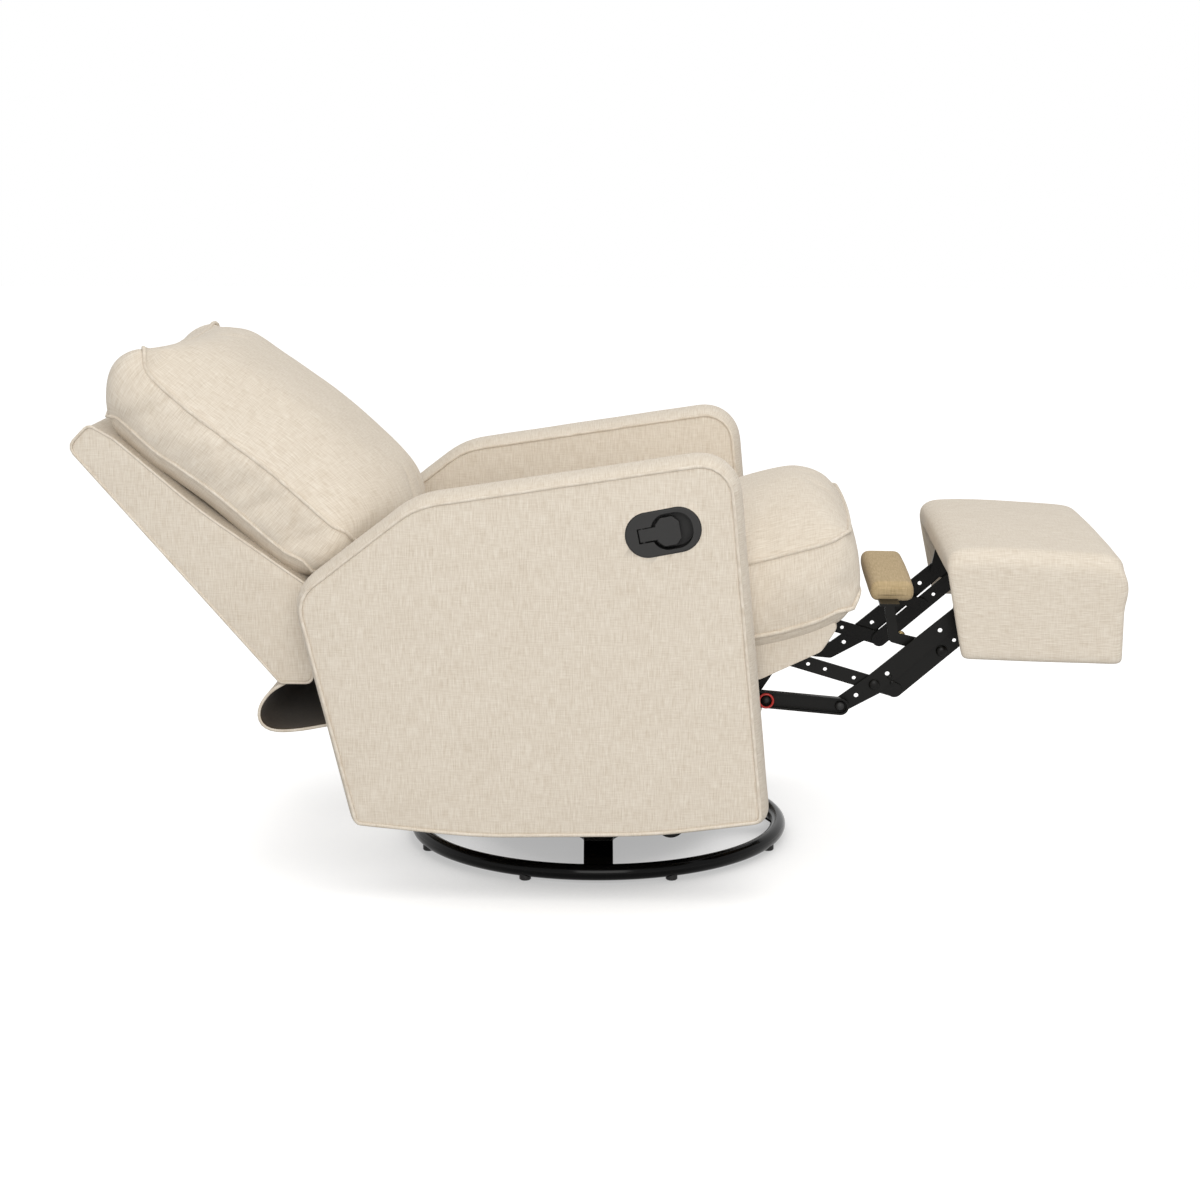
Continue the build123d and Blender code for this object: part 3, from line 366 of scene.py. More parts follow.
# %% A cover in the making
class Cover:
    """A sewn cover in the making: points, faces and each corner's place on the flat cloth."""

    def __init__(self):
        self.points = []
        self.faces = []
        self.flat = []

    def row(self, points):
        """Add points and return their numbers."""
        first = len(self.points)
        self.points.extend(Vector(p) for p in points)
        return list(range(first, len(self.points)))

    def strip(self, low, high, flat_low, flat_high, closed=False):
        """Faces between two rows of point numbers."""
        count = len(low)
        for k in range(count if closed else count - 1):
            n = (k + 1) % count
            flat = (flat_low[k], flat_low[k + 1], flat_high[k + 1], flat_high[k])
            self.patch((low[k], low[n], high[n], high[k]), flat)

    def skin(self, rows, flats, closed=False):
        """Strips between each row and the next."""
        for k in range(len(rows) - 1):
            self.strip(rows[k], rows[k + 1], flats[k], flats[k + 1], closed)

    def patch(self, face, flat):
        """One more face, such as a closed end."""
        self.faces.append(tuple(face))
        self.flat.append(tuple(flat))

    def fan(self, row, hub, flat_row, flat_hub):
        """Faces from a closed row to one middle point."""
        for k in range(len(row)):
            n = (k + 1) % len(row)
            self.patch((row[k], row[n], hub), (flat_row[k], flat_row[k + 1], flat_hub))

    def finish(self, name, cloth, levels=1):
        """Make the object, with its faces turned outwards and its weave coordinates."""
        mesh = bpy.data.meshes.new(name)
        mesh.from_pydata(self.points, [], self.faces)
        layer = mesh.uv_layers.new(name="cloth")
        for face, corners in zip(mesh.polygons, self.flat):
            face.use_smooth = True
            for loop, place in zip(face.loop_indices, corners):
                layer.data[loop].uv = place
        shape = bmesh.new()
        shape.from_mesh(mesh)
        bmesh.ops.recalc_face_normals(shape, faces=shape.faces)
        shape.to_mesh(mesh)
        shape.free()
        mesh.materials.append(cloth)
        piece = add_object(name, mesh)
        if levels:
            smooth = piece.modifiers.new("smooth", "SUBSURF")
            smooth.levels = levels
            smooth.render_levels = levels
        return piece


print("covers can be sewn")

# %% [markdown]
# Seams follow outlines with rounded corners. Their points lie at about even steps, because long
# and short faces side by side would show as kinks in the band between two seams.

# %% Outlines, seams and piping
def settle(piece, body, slot, *stands_for):
    """Set a finished piece on its body and hide the construction nodes it stands for."""
    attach(piece, body)
    if stands_for:
        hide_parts(*stands_for)
    return piece


def rounded_loop(corners, step):
    """Points round a polygon whose corners, each (place, radius), are arcs; steps are about even."""
    points = []
    count = len(corners)
    for k, (corner, radius) in enumerate(corners):
        here = Vector(corner)
        back = (Vector(corners[k - 1][0]) - here).normalized()
        onward = (Vector(corners[(k + 1) % count][0]) - here).normalized()
        half = back.angle(onward) / 2
        middle = here + (back + onward).normalized() * radius / sin(half)
        start = here + back * radius / (sin(half) / cos(half))
        sweep = pi - 2 * half
        turn = 1.0 if back.x * onward.y - back.y * onward.x < 0 else -1.0
        steps = max(3, int(sweep * radius / step))
        arm = start - middle
        for n in range(steps + 1):
            angle = turn * sweep * n / steps
            c, s = cos(angle), sin(angle)
            points.append(middle + Vector((arm.x * c - arm.y * s, arm.x * s + arm.y * c)))
    filled = []
    for k, point in enumerate(points):
        gap = points[(k + 1) % len(points)] - point
        pieces = max(1, round(gap.length / step))
        filled.extend(point + gap * n / pieces for n in range(pieces))
    return filled


def outward(loop, k):
    """The unit normal of a closed loop at a point, away from its middle."""
    along = loop[(k + 1) % len(loop)] - loop[k - 1]
    normal = Vector((along.y, -along.x)).normalized()
    centre = sum(loop, Vector((0.0, 0.0))) / len(loop)
    return normal if normal.dot(loop[k] - centre) > 0 else -normal


def lengths(points):
    """Running length along a closed row of points, one more value than points."""
    total = [0.0]
    for k in range(len(points)):
        total.append(total[-1] + (points[(k + 1) % len(points)] - points[k]).length)
    return total


def ripple(place, seed, size):
    """A smooth dent or rise at a place, between -1 and 1, of about the given size."""
    return noise.noise(Vector(place) / size + Vector((seed, 1.7 * seed, 0.3 * seed)))


def piping(name, points, body, radius, closed=True, finish=piping_cloth, slot="oatmeal_fabric"):
    """A round cord along points, such as the one sewn into a seam; a spring's wire is drawn so too."""
    data = bpy.data.curves.new(name, "CURVE")
    data.dimensions = "3D"
    data.bevel_depth = radius
    data.bevel_resolution = 3
    spline = data.splines.new("POLY")
    spline.points.add(len(points) - 1)
    for knot, place in zip(spline.points, points):
        knot.co = (*place, 1.0)
    spline.use_cyclic_u = closed
    spline.use_smooth = True
    data.materials.append(finish)
    return settle(add_object(name, data), body, slot)


print("outlines and piping ready")

# %% [markdown]
# ## Arms and other flat-sided pieces
# An arm is two flat panels of one outline, joined by a band that runs right round. Foam under
# the band makes it crown between its two piped seams. The same construction, with other
# outlines, makes the back shell, the seat box and the small pad, so it is one function.

# %% Flat-sided covers
cover_dent = 0.0006
ring_shares = (0.985, 0.955, 0.90, 0.82, 0.70, 0.56, 0.42, 0.28, 0.14)
crown_shape = 0.6
puff_shape = 7
band_dent_size = 0.07
side_dent_size = 0.16
round_steps = 5


def slab(name, outline, low_x, high_x, crown, puff, cloth, columns=9, seed=1.0, end_round=0.0):
    """A cover with two like sides at low_x and high_x and a crowned band between them."""
    cover = Cover()
    run = lengths(outline)
    centre = sum(outline, Vector((0.0, 0.0))) / len(outline)
    normals = [outward(outline, k) for k in range(len(outline))]
    rows = []
    width = abs(high_x - low_x)
    shares = [c / (columns - 1) for c in range(columns)]
    if end_round:
        curve = [end_round / width * (1 - cos(pi / 2 * n / round_steps)) for n in range(round_steps)]
        inner = [end_round / width + (1 - 2 * end_round / width) * share for share in shares]
        shares = curve + inner + [1 - share for share in reversed(curve)]
    for share in shares:
        swell = crown * sin(pi * share) ** crown_shape
        depth = min(share, 1 - share) * width
        if depth < end_round:
            swell -= end_round * (1 - (1 - (1 - depth / end_round) ** 2) ** 0.5)
        x = low_x + (high_x - low_x) * share
        ring = []
        for k, place in enumerate(outline):
            wave = cover_dent * ripple((x, place.x, place.y), seed, band_dent_size) * sin(pi * share)
            spot = place + normals[k] * (swell + wave)
            ring.append((x, spot.x, spot.y))
        rows.append(cover.row(ring))
    cover.skin(rows, [[(x, width * share) for x in run] for share in shares], closed=True)
    side = [place - normals[k] * end_round for k, place in enumerate(outline)]
    outward_way = 1.0 if high_x > low_x else -1.0
    for edge, x, way in ((rows[0], low_x, -outward_way), (rows[-1], high_x, outward_way)):
        inner, flat_inner = edge, [(p.x, p.y) for p in side + side[:1]]
        for share in ring_shares:
            ring = []
            spots = [centre + (p - centre) * share for p in side]
            for spot in spots:
                wave = cover_dent * 2.0 * ripple((x, spot.x, spot.y), seed + 4.0, side_dent_size)
                ring.append((x + way * (puff + wave) * (1.0 - share**puff_shape), spot.x, spot.y))
            row = cover.row(ring)
            flat = [(p.x, p.y) for p in spots + spots[:1]]
            cover.strip(inner, row, flat_inner, flat, closed=True)
            inner, flat_inner = row, flat
        hub = cover.row([(x + way * puff, centre.x, centre.y)])[0]
        cover.fan(inner, hub, flat_inner, (centre.x, centre.y))
    return cover.finish(name, cloth)


def seam_points(outline, x, stand):
    """Points of a piped seam on a slab's edge, standing a little out of it."""
    points = []
    for k, place in enumerate(outline):
        spot = place + outward(outline, k) * stand
        points.append(Vector((x, spot.x, spot.y)))
    return points


print("flat-sided covers ready")

# %% Draw the arms
arm_half = 0.384
arm_inner = 0.282
arm_crown = 0.0145
arm_puff = 0.0035
arm_corners = (
    ((-0.2585, 0.1275), 0.008),
    ((-0.2085, 0.659), 0.046),
    ((0.246, 0.589), 0.120),
    ((0.421, 0.4535), 0.045),
    ((0.339, 0.117), 0.008),
    ((0.160, 0.1005), 0.9),
    ((-0.100, 0.1065), 0.9),
)
arm_outline = rounded_loop(arm_corners, 0.012)
handle_middle = (-0.114, 0.5575)
handle_tilt = radians(11.0)
handle_hole = (0.1038, 0.0588)
slot_stand = 0.02
slot_depth = 0.026
slot_steps = 12
two_sides = ((-1.0, "right"), (1.0, "left"))
print(len(arm_outline), "points round each arm")

# %% [markdown]
# The release handle sits in a shallow cup, let into the outer panel of the right arm. The hole
# for it is cut with a boolean, because no seam runs round it that could be drawn as rows.

# %% Sew the arms and cut the handle's slot
def cut_handle_hole(arm):
    """Cut the slot that the handle's cup is let into, by a round-ended block."""
    along = Vector((-cos(handle_tilt), sin(handle_tilt)))
    across = Vector((sin(handle_tilt), cos(handle_tilt)))
    radius = handle_hole[1] / 2
    reach = handle_hole[0] / 2 - radius
    edge = []
    for end, start in ((1.0, -pi / 2), (-1.0, pi / 2)):
        for n in range(slot_steps + 1):
            angle = start + pi * n / slot_steps
            spot = along * (end * reach + radius * cos(angle)) + across * radius * sin(angle)
            edge.append(Vector(handle_middle) + spot)
    cutter_mesh = bpy.data.meshes.new("slot_cutter")
    depth = (-arm_half - slot_stand, -arm_half + slot_depth)
    points = [(x, p.x, p.y) for x in depth for p in edge]
    count = len(edge)
    sides = [(k, (k + 1) % count, count + (k + 1) % count, count + k) for k in range(count)]
    front, rear = tuple(range(count)), tuple(range(2 * count - 1, count - 1, -1))
    cutter_mesh.from_pydata(points, [], [front, rear, *sides])
    cutter = add_object("slot_cutter", cutter_mesh)
    cut = arm.modifiers.new("slot", "BOOLEAN")
    cut.operation = "DIFFERENCE"
    cut.solver = "EXACT"
    cut.object = cutter
    bpy.context.view_layer.update()
    shaped = bpy.data.meshes.new_from_object(arm.evaluated_get(bpy.context.evaluated_depsgraph_get()))
    arm.modifiers.clear()
    arm.data = shaped
    bpy.data.objects.remove(cutter)


for side, label in two_sides:
    name = label + "_arm"
    outer_x, inner_x = side * arm_half, side * arm_inner
    arm = slab(name + "_cover", arm_outline, outer_x, inner_x, arm_crown, arm_puff, oatmeal, seed=3.0 + side)
    if side < 0:
        cut_handle_hole(arm)
    settle(arm, "chassis", "oatmeal_fabric", name)
    for edge, x in (("outer", outer_x), ("inner", inner_x)):
        seam = seam_points(arm_outline, x, stand=0.0012)
        piping(f"{name}_{edge}_piping", seam, "chassis", radius=0.0027)
print("arms sewn")

# %% [markdown]
# ## Boxed cushions
# The seat and the pillow are boxed cushions: a top and a bottom panel, and a boxing strip
# between two piped seams. Their crown comes from loose filling, so each starts from a plain
# crowned form and is then blown up gently as cloth with its seams held, which gives the soft
# unevenness that a drawn crown lacks. A mesh grid with rounded corners keeps the seams as
# whole rows of points, so the piping knows where to run.

# %% Curves and corners
def between(pairs, at):
    """A value on the smooth curve through a few (place, value) pairs that never swings past them."""
    at = min(max(at, pairs[0][0]), pairs[-1][0])
    slopes = [(q[1] - p[1]) / (q[0] - p[0]) for p, q in zip(pairs, pairs[1:])]
    bends = [slopes[0]]
    for before, after in zip(slopes, slopes[1:]):
        bends.append(0.0 if before * after <= 0 else 2 * before * after / (before + after))
    bends.append(slopes[-1])
    k = 0
    while at > pairs[k + 1][0]:
        k += 1
    (low, first), (high, second) = pairs[k], pairs[k + 1]
    span = high - low
    s = (at - low) / span
    held = first * (1 + 2 * s) * (1 - s) ** 2 + second * s * s * (3 - 2 * s)
    return held + span * s * (1 - s) * (bends[k] * (1 - s) - bends[k + 1] * s)


def round_corner(u, v, half, low, high, radius):
    """A grid point of a rectangle with its corner squares turned into quarter rounds."""
    past_u = abs(u) - (half - radius)
    way = 1.0 if v > (low + high) / 2 else -1.0
    base_v = high - radius if way > 0 else low + radius
    past_v = way * (v - base_v)
    if past_u <= 0 or past_v <= 0:
        return u, v
    reach = max(past_u, past_v)
    angle = pi / 4 * past_v / past_u if past_v <= past_u else pi / 2 - pi / 4 * past_u / past_v
    side = 1.0 if u > 0 else -1.0
    return side * (half - radius + reach * cos(angle)), base_v + way * reach * sin(angle)


print("curves and corners ready")

# %% Cushion builder
grid_step = 0.0105
boxing_rows = 8


def boxed_cushion(name, half, low, high, radius, top_at, bottom_at, bulge, place, cloth):
    """A boxed cushion on a plan of 2*half by low..high.

    top_at and bottom_at give (u, v, height) of a panel, and bulge how far the boxing stands out.
    """
    columns = round(2 * half / grid_step)
    rows = round((high - low) / grid_step)
    cover = Cover()
    grids = {}
    flats = {}
    for key, shape in (("top", top_at), ("bottom", bottom_at)):
        lines, flat_lines = [], []
        for r in range(rows + 1):
            plan = []
            for c in range(columns + 1):
                u, v = -half + 2 * half * c / columns, low + (high - low) * r / rows
                plan.append(round_corner(u, v, half, low, high, radius))
            lines.append(cover.row(place(*shape(u, v)) for u, v in plan))
            flat_lines.append(plan)
        cover.skin(lines, flat_lines)
        grids[key], flats[key] = lines, flat_lines

    def rim(lines):
        """The border of a grid, once round."""
        front, rear = lines[0], lines[-1]
        right = [line[-1] for line in lines[1:-1]]
        left = [line[0] for line in lines[1:-1]]
        return front + right + rear[::-1] + left[::-1]

    upper, lower = rim(grids["top"]), rim(grids["bottom"])
    plan = [Vector(p) for p in rim(flats["top"])]
    run = lengths([cover.points[n] for n in upper])
    rings = [upper]
    for b in range(1, boxing_rows):
        share = b / boxing_rows
        ring = []
        for k in range(len(upper)):
            spot = cover.points[upper[k]].lerp(cover.points[lower[k]], share)
            push = outward(plan, k) * bulge(plan[k], share)
            ring.append(spot + place(push.x, push.y, 0.0) - place(0.0, 0.0, 0.0))
        rings.append(cover.row(ring))
    rings.append(lower)
    height = (cover.points[upper[0]] - cover.points[lower[0]]).length
    falls = [-height * b / boxing_rows for b in range(boxing_rows + 1)]
    cover.skin(rings, [[(x, fall) for x in run] for fall in falls], closed=True)
    piece = cover.finish(name, cloth)
    held = sorted(set(upper) | set(lower) | {n for line in grids["bottom"] for n in line})
    return piece, held, [cover.points[n] for n in upper], [cover.points[n] for n in lower]


print("cushion builder ready")

# %% [markdown]
# Filling pushes a cover out evenly while its seams hold it back, and a pressure in the cloth
# simulation does the same. A cap on each point's move keeps the fit to the other pieces.

# %% Blow a cushion up
def plump(piece, held, slack, cap, pressure=4.0, frames=20):
    """Blow the cloth up with its held points fixed; no point moves more than cap."""
    start = [v.co.copy() for v in piece.data.vertices]
    group = piece.vertex_groups.new(name="seams")
    group.add(held, 1.0, "REPLACE")
    cloth = piece.modifiers.new("cloth", "CLOTH")
    piece.modifiers.move(len(piece.modifiers) - 1, 0)
    piece.modifiers["smooth"].show_viewport = False
    settings = cloth.settings
    settings.use_pressure = True
    settings.uniform_pressure_force = pressure
    settings.vertex_group_mass = "seams"
    settings.shrink_min = -slack
    settings.bending_stiffness = 1.2
    settings.tension_stiffness = 12.0
    settings.compression_stiffness = 12.0
    settings.effector_weights.gravity = 0.0
    for frame_number in range(1, frames + 1):
        scene.frame_set(frame_number)
    blown = piece.evaluated_get(bpy.context.evaluated_depsgraph_get())
    ends = [v.co.copy() for v in blown.data.vertices]
    piece.modifiers.remove(cloth)
    piece.vertex_groups.clear()
    piece.modifiers["smooth"].show_viewport = True
    for vertex, before, after in zip(piece.data.vertices, start, ends):
        move = after - before
        if move.length > cap:
            move *= cap / move.length
        vertex.co = before + move
    scene.frame_set(1)
    furthest = max((b - a).length for a, b in zip(start, ends))
    print(piece.name, "largest move", round(furthest * 1000, 1), "mm")


print("cushions can be blown up")

# %% [markdown]
# ## Seat cushion
# The seat is the fullest cushion: its front corner ears stand up a little, the middle is about
# nine centimetres above the side seams, and the front face leans out to the lower seam.

# %% Sew the seat cushion
seat_half = 0.2735
seat_front = -0.388
seat_rear = 0.086
seat_corner = 0.030
seat_upper = ((-0.388, 0.5395), (-0.370, 0.531), (-0.287, 0.5065), (-0.238, 0.494), (0.086, 0.415))
seat_lower = ((-0.388, 0.449), (-0.370, 0.430), (-0.318, 0.402), (-0.247, 0.382), (0.086, 0.338))
seat_crown = (
    (0.0, 0.0), (0.03, 0.036), (0.07, 0.061), (0.13, 0.076),
    (0.24, 0.080), (0.5, 0.068), (0.8, 0.038), (1.0, 0.0),
)
seat_side_shape = 2.3
seat_top_shape = 0.85
seat_bow = 0.006
seat_bow_reach = 0.2
seat_tuck = 0.024
tuck_shape = 0.6
seat_lean = 0.017
seat_lean_reach = 0.3
seat_boxing = 0.004
boxing_shape = 0.8


def seat_top(u, v):
    """The seat's top panel: seam height at its edge and a crown inside it."""
    share = (v - seat_front) / (seat_rear - seat_front)
    across = max(0.0, 1.0 - abs(u / seat_half) ** seat_side_shape)
    bow = seat_bow * (1.0 - (u / seat_half) ** 2) * max(0.0, 1.0 - share / seat_bow_reach)
    return u, v - bow, between(seat_upper, v) + between(seat_crown, share) * across**seat_top_shape


def seat_bottom(u, v):
    """The seat's lower panel: down from the lower seam, then flat on the deck."""
    share = (v - seat_front) / (seat_rear - seat_front)
    edge = min(seat_half - abs(u), v - seat_front, seat_rear - v)
    fall = seat_tuck * min(1.0, max(0.0, edge) / seat_tuck) ** tuck_shape
    lean = seat_lean * max(0.0, 1.0 - share / seat_lean_reach)
    return u, v - lean, between(seat_lower, v) - fall


def seat_bulge(spot, share):
    """How far the seat's boxing stands out, by its share of the way down."""
    return seat_boxing * sin(pi * share) ** boxing_shape


def upright_place(u, v, height):
    """Seat coordinates to the room's."""
    return Vector((u, v, height))


seat, seat_held, seat_welt, seat_low_welt = boxed_cushion(
    "seat_cushion_cover", seat_half, seat_front, seat_rear, seat_corner,
    seat_top, seat_bottom, seat_bulge, upright_place, oatmeal,
)
plump(seat, seat_held, slack=0.012, cap=0.010)
settle(seat, "seat", "oatmeal_fabric", "seat_cushion")
piping("seat_upper_piping", seat_welt, "seat", radius=0.0032)
piping("seat_lower_piping", seat_low_welt, "seat", radius=0.0034)
print("seat cushion", len(seat.data.vertices), "points")

# %% [markdown]
# ## Back pillow and lumbar roll
# The pillow leans with the back, so it is drawn in the back's own directions: across, up the
# back and out towards the sitter. Its front seam sags between the corners and its top edge is
# drawn in at the middle, as on a loose pillow that is zipped to its shell. A simulation could
# fold its boxing too, but it smooths such small folds away, so they are drawn in afterwards.

# %% Sew the back pillow
back_origin = Vector((0.0, 0.371, 0.532))
back_lean = radians(41.7)
up_back = Vector((0.0, cos(back_lean), sin(back_lean)))
off_back = Vector((0.0, -sin(back_lean), cos(back_lean)))


def back_place(u, v, height):
    """Back coordinates, across, up and out, to the room's."""
    return back_origin + Vector((u, 0.0, 0.0)) + up_back * v + off_back * height


pillow_half = 0.272
pillow_low = -0.006
pillow_high = 0.406
pillow_corner = 0.026
pillow_front = ((0.0, 0.0), (0.127, 0.0), (0.226, -0.007), (0.30, -0.0125), (0.37, -0.013), (0.406, 0.004))
pillow_rear = ((0.0, -0.063), (0.054, -0.079), (0.17, -0.081), (0.25, -0.088), (0.30, -0.094), (0.40, -0.092))
pillow_crown = (
    (0.0, 0.0), (0.02, 0.042), (0.06, 0.073), (0.13, 0.087), (0.38, 0.088), (0.60, 0.086), (0.74, 0.083),
    (0.84, 0.077), (0.92, 0.062), (0.97, 0.040), (1.0, 0.0),
)
pillow_waist = 0.014
pillow_foot = 0.080
foot_end = 0.45
pillow_side_shape = 3.0
pillow_top_shape = 0.8
pillow_ear = 0.011
ear_end = 0.15
ear_spread = 0.3
pillow_belly = 0.030
belly_reach = 0.040
pillow_set_back = 0.020
pillow_boxing = 0.010
pillow_top_boxing = 0.018
top_end = 0.20


def pillow_share(v):
    """How far up the pillow a place is, from 0 to 1."""
    return (v - pillow_low) / (pillow_high - pillow_low)


def pillow_edge(u, v):
    """The pillow's plan: its top edge drawn in at the middle and its bottom edge let out."""
    middle = 1.0 - (u / pillow_half) ** 2
    share = pillow_share(v)
    drawn_in = pillow_waist * middle * max(0.0, share - 0.5) * 2
    return v - drawn_in - pillow_foot * middle * max(0.0, foot_end - share) / foot_end


def pillow_top(u, v):
    """The pillow's face, with its upper corners standing up as ears."""
    across = max(0.0, 1.0 - abs(u / pillow_half) ** pillow_side_shape)
    rise = between(pillow_crown, pillow_share(v)) * across**pillow_top_shape
    aside = max(0.0, abs(u / pillow_half) * 4 - 3)
    ear = pillow_ear * aside**2 * max(0.0, (pillow_share(v) - (1 - ear_end)) / ear_end) ** 2
    return u, pillow_edge(u, v) + ear_spread * ear, between(pillow_front, v) + rise + ear


def pillow_bottom(u, v):
    """The pillow's back panel, a shallow belly towards the shell."""
    edge = min(pillow_half - abs(u), v - pillow_low, pillow_high - v)
    fall = pillow_belly * min(1.0, max(0.0, edge) / belly_reach) ** tuck_shape
    set_back = pillow_set_back * max(0.0, pillow_share(v)) ** 4
    return u, pillow_edge(u, v) - set_back, between(pillow_rear, v) - fall


def pillow_bulge(spot, share):
    """How far the pillow's boxing stands out, most at its top end."""
    swell = pillow_boxing + pillow_top_boxing * max(0.0, pillow_share(spot.y) - (1 - top_end)) / top_end
    return swell * sin(pi * share) ** boxing_shape


pillow, pillow_held, pillow_welt, pillow_low_welt = boxed_cushion(
    "back_pillow_cover", pillow_half, pillow_low, pillow_high, pillow_corner,
    pillow_top, pillow_bottom, pillow_bulge, back_place, oatmeal,
)
plump(pillow, pillow_held, slack=0.016, cap=0.010)
print("pillow", len(pillow.data.vertices), "points")

# %% Fold the pillow's boxing
pillow_passage = 0.2780
passage_widening = 0.014
passage_from = 0.40
passage_over = 0.25
pillow_folds = (
    (0.020, 0.0090, 0.028), (0.062, 0.0080, -0.014), (0.100, 0.0095, 0.030), (0.148, 0.0065, 0.014),
    (0.205, 0.0070, -0.020), (0.262, 0.0055, 0.024), (0.330, 0.0065, 0.012),
)
fold_width = 0.0085
fold_shape = 0.7
panel_edge = 0.002


def crease_boxing():
    """Draw folds, each (place, depth, slant), in the side boxing, and let its foot pass the arms."""
    for vertex in pillow.data.vertices:
        off = vertex.co - back_origin
        up = off.dot(up_back)
        front, rear = between(pillow_front, up), between(pillow_rear, up)
        down = (front - off.dot(off_back)) / (front - rear)
        wider = min(1.0, max(0.0, pillow_share(up) - passage_from) / passage_over)
        limit = pillow_passage + passage_widening * wider
        if abs(off.x) > pillow_half - panel_edge and 0.0 < down < 1.0:
            for place, depth, slant in pillow_folds:
                aside = (up - place - slant * down) / fold_width
                crease = depth * sin(pi * down) ** fold_shape * 2.0 ** (-aside * aside)
                limit = min(limit, abs(off.x)) - crease
        vertex.co.x = min(limit, max(-limit, off.x))


crease_boxing()
settle(pillow, "back", "oatmeal_fabric", "back_pillow")
piping("pillow_front_piping", pillow_welt, "back", radius=0.0032)
piping("pillow_rear_piping", pillow_low_welt, "back", radius=0.0028)
print("pillow folded,", len(pillow_folds), "folds on each side")

# %% Sew the lumbar roll
lumbar_half = 0.261
lumbar_low = -0.200
lumbar_high = -0.052
lumbar_corner = 0.02
lumbar_back = -0.082
lumbar_seam = -0.030
lumbar_rise = 0.046
lumbar_shift = 0.012
lumbar_reach = 0.15


def lumbar_top(u, v):
    """The lumbar roll's face, a half round across the back."""
    share = (v - lumbar_low) / (lumbar_high - lumbar_low)
    across = max(0.0, 1.0 - abs(u / lumbar_half) ** 2.6)
    return u, v, lumbar_seam + lumbar_rise * sin(pi * share) ** 0.7 * across**0.6


def lumbar_bottom(u, v):
    """The lumbar roll's flat back."""
    return u, v + lumbar_shift * (lumbar_high - v) / lumbar_reach, lumbar_back


lumbar, lumbar_held, *_ = boxed_cushion(
    "lumbar_cover", lumbar_half, lumbar_low, lumbar_high, lumbar_corner,
    lumbar_top, lumbar_bottom, seat_bulge, back_place, oatmeal,
)
plump(lumbar, lumbar_held, slack=0.012, cap=0.012)
settle(lumbar, "back", "oatmeal_fabric", "lumbar_pad")
print("lumbar roll", len(lumbar.data.vertices), "points")

# %% [markdown]
# ## Back shell, seat box and tail
# The shell behind the pillow is a thin upholstered box, wider at its foot. The seat box is four
# covered rails, and a covered flap closes the gap behind the seat. All of these have flat sides,
# so the arm's function sews them.

# %% Sew the back shell
shell_half = 0.2745
shell_corners = (
    ((0.4685, 0.3045), 0.008),
    ((0.781, 0.662), 0.014),
    ((0.749, 0.6945), 0.010),
    ((0.7105, 0.6725), 0.008),
    ((0.588, 0.568), 0.9),
    ((0.402, 0.438), 0.010),
    ((0.421, 0.3045), 0.010),
)
shell_outline = rounded_loop(shell_corners, 0.011)
shell = slab(
    "back_shell_cover", shell_outline, -shell_half, shell_half, crown=0.002, puff=0.002, cloth=oatmeal,
    columns=31, seed=6.0,
)
settle(shell, "back", "oatmeal_fabric", "back_shell")
for side, label in two_sides:
    seam = seam_points(shell_outline, side * shell_half, stand=0.0004)
    piping(f"shell_{label}_piping", seam, "back", radius=0.0022)
print("shell", len(shell.data.vertices), "points")

# %% Sew the seat box and the tail
box_half = 0.258
box_inner = 0.228
tail_half = 0.270
box_profile = (
    ((0.0985, 0.322), 0.006),
    ((-0.275, 0.378), 0.5),
    ((-0.345, 0.395), 0.12),
    ((-0.386, 0.414), 0.008),
    ((-0.350, 0.357), 0.02),
    ((-0.259, 0.3135), 0.03),
    ((0.0985, 0.2605), 0.006),
)
front_profile = (
    ((-0.3435, 0.395), 0.004),
    ((-0.386, 0.414), 0.008),
    ((-0.350, 0.357), 0.006),
    ((-0.3435, 0.355), 0.004),
)
rear_profile = (
    ((0.0985, 0.322), 0.005),
    ((0.071, 0.326), 0.005),
    ((0.071, 0.2645), 0.005),
    ((0.0985, 0.2605), 0.005),
)
tail_profile = (
    ((0.1005, 0.3005), 0.004),
    ((0.1755, 0.311), 0.006),
    ((0.1755, 0.2985), 0.006),
    ((0.1005, 0.288), 0.004),
)
box_step, front_step, rear_step, tail_step = 0.011, 0.008, 0.010, 0.009
# Each cover is its name, the node it stands for, outline, two ends in x, crown, puff and columns.
box_covers = [
    (f"seat_box_{label}", "seat_box_sides", rounded_loop(box_profile, box_step),
     side * box_half, side * box_inner, 0.0004, 0.0008, 5)
    for side, label in two_sides
]
box_covers += [
    ("seat_box_front", "seat_box_front", rounded_loop(front_profile, front_step),
     -box_inner, box_inner, 0.0003, 0.0, 25),
    ("seat_box_rear", "seat_box_rear", rounded_loop(rear_profile, rear_step),
     -box_inner, box_inner, 0.0003, 0.0, 25),
    ("seat_tail", "seat_tail", rounded_loop(tail_profile, tail_step),
     -tail_half, tail_half, 0.0008, 0.001, 31),
]
for name, node, outline, low_x, high_x, crown, puff, columns in box_covers:
    soft = slab(name + "_cover", outline, low_x, high_x, crown, puff, oatmeal, columns)
    settle(soft, "seat", "oatmeal_fabric", node)
print("sewn", len(box_covers), "covers of the box and the tail")

# %% [markdown]
# ## Footrest hood
# The hood is one padded panel, folded down at both sides into flaps that hide the links when
# the footrest is in. It is drawn as a row of inverted-U sections from heel to toe, each a closed
# ring of an outer and an inner line, with the end sections drawn in to round the ends.

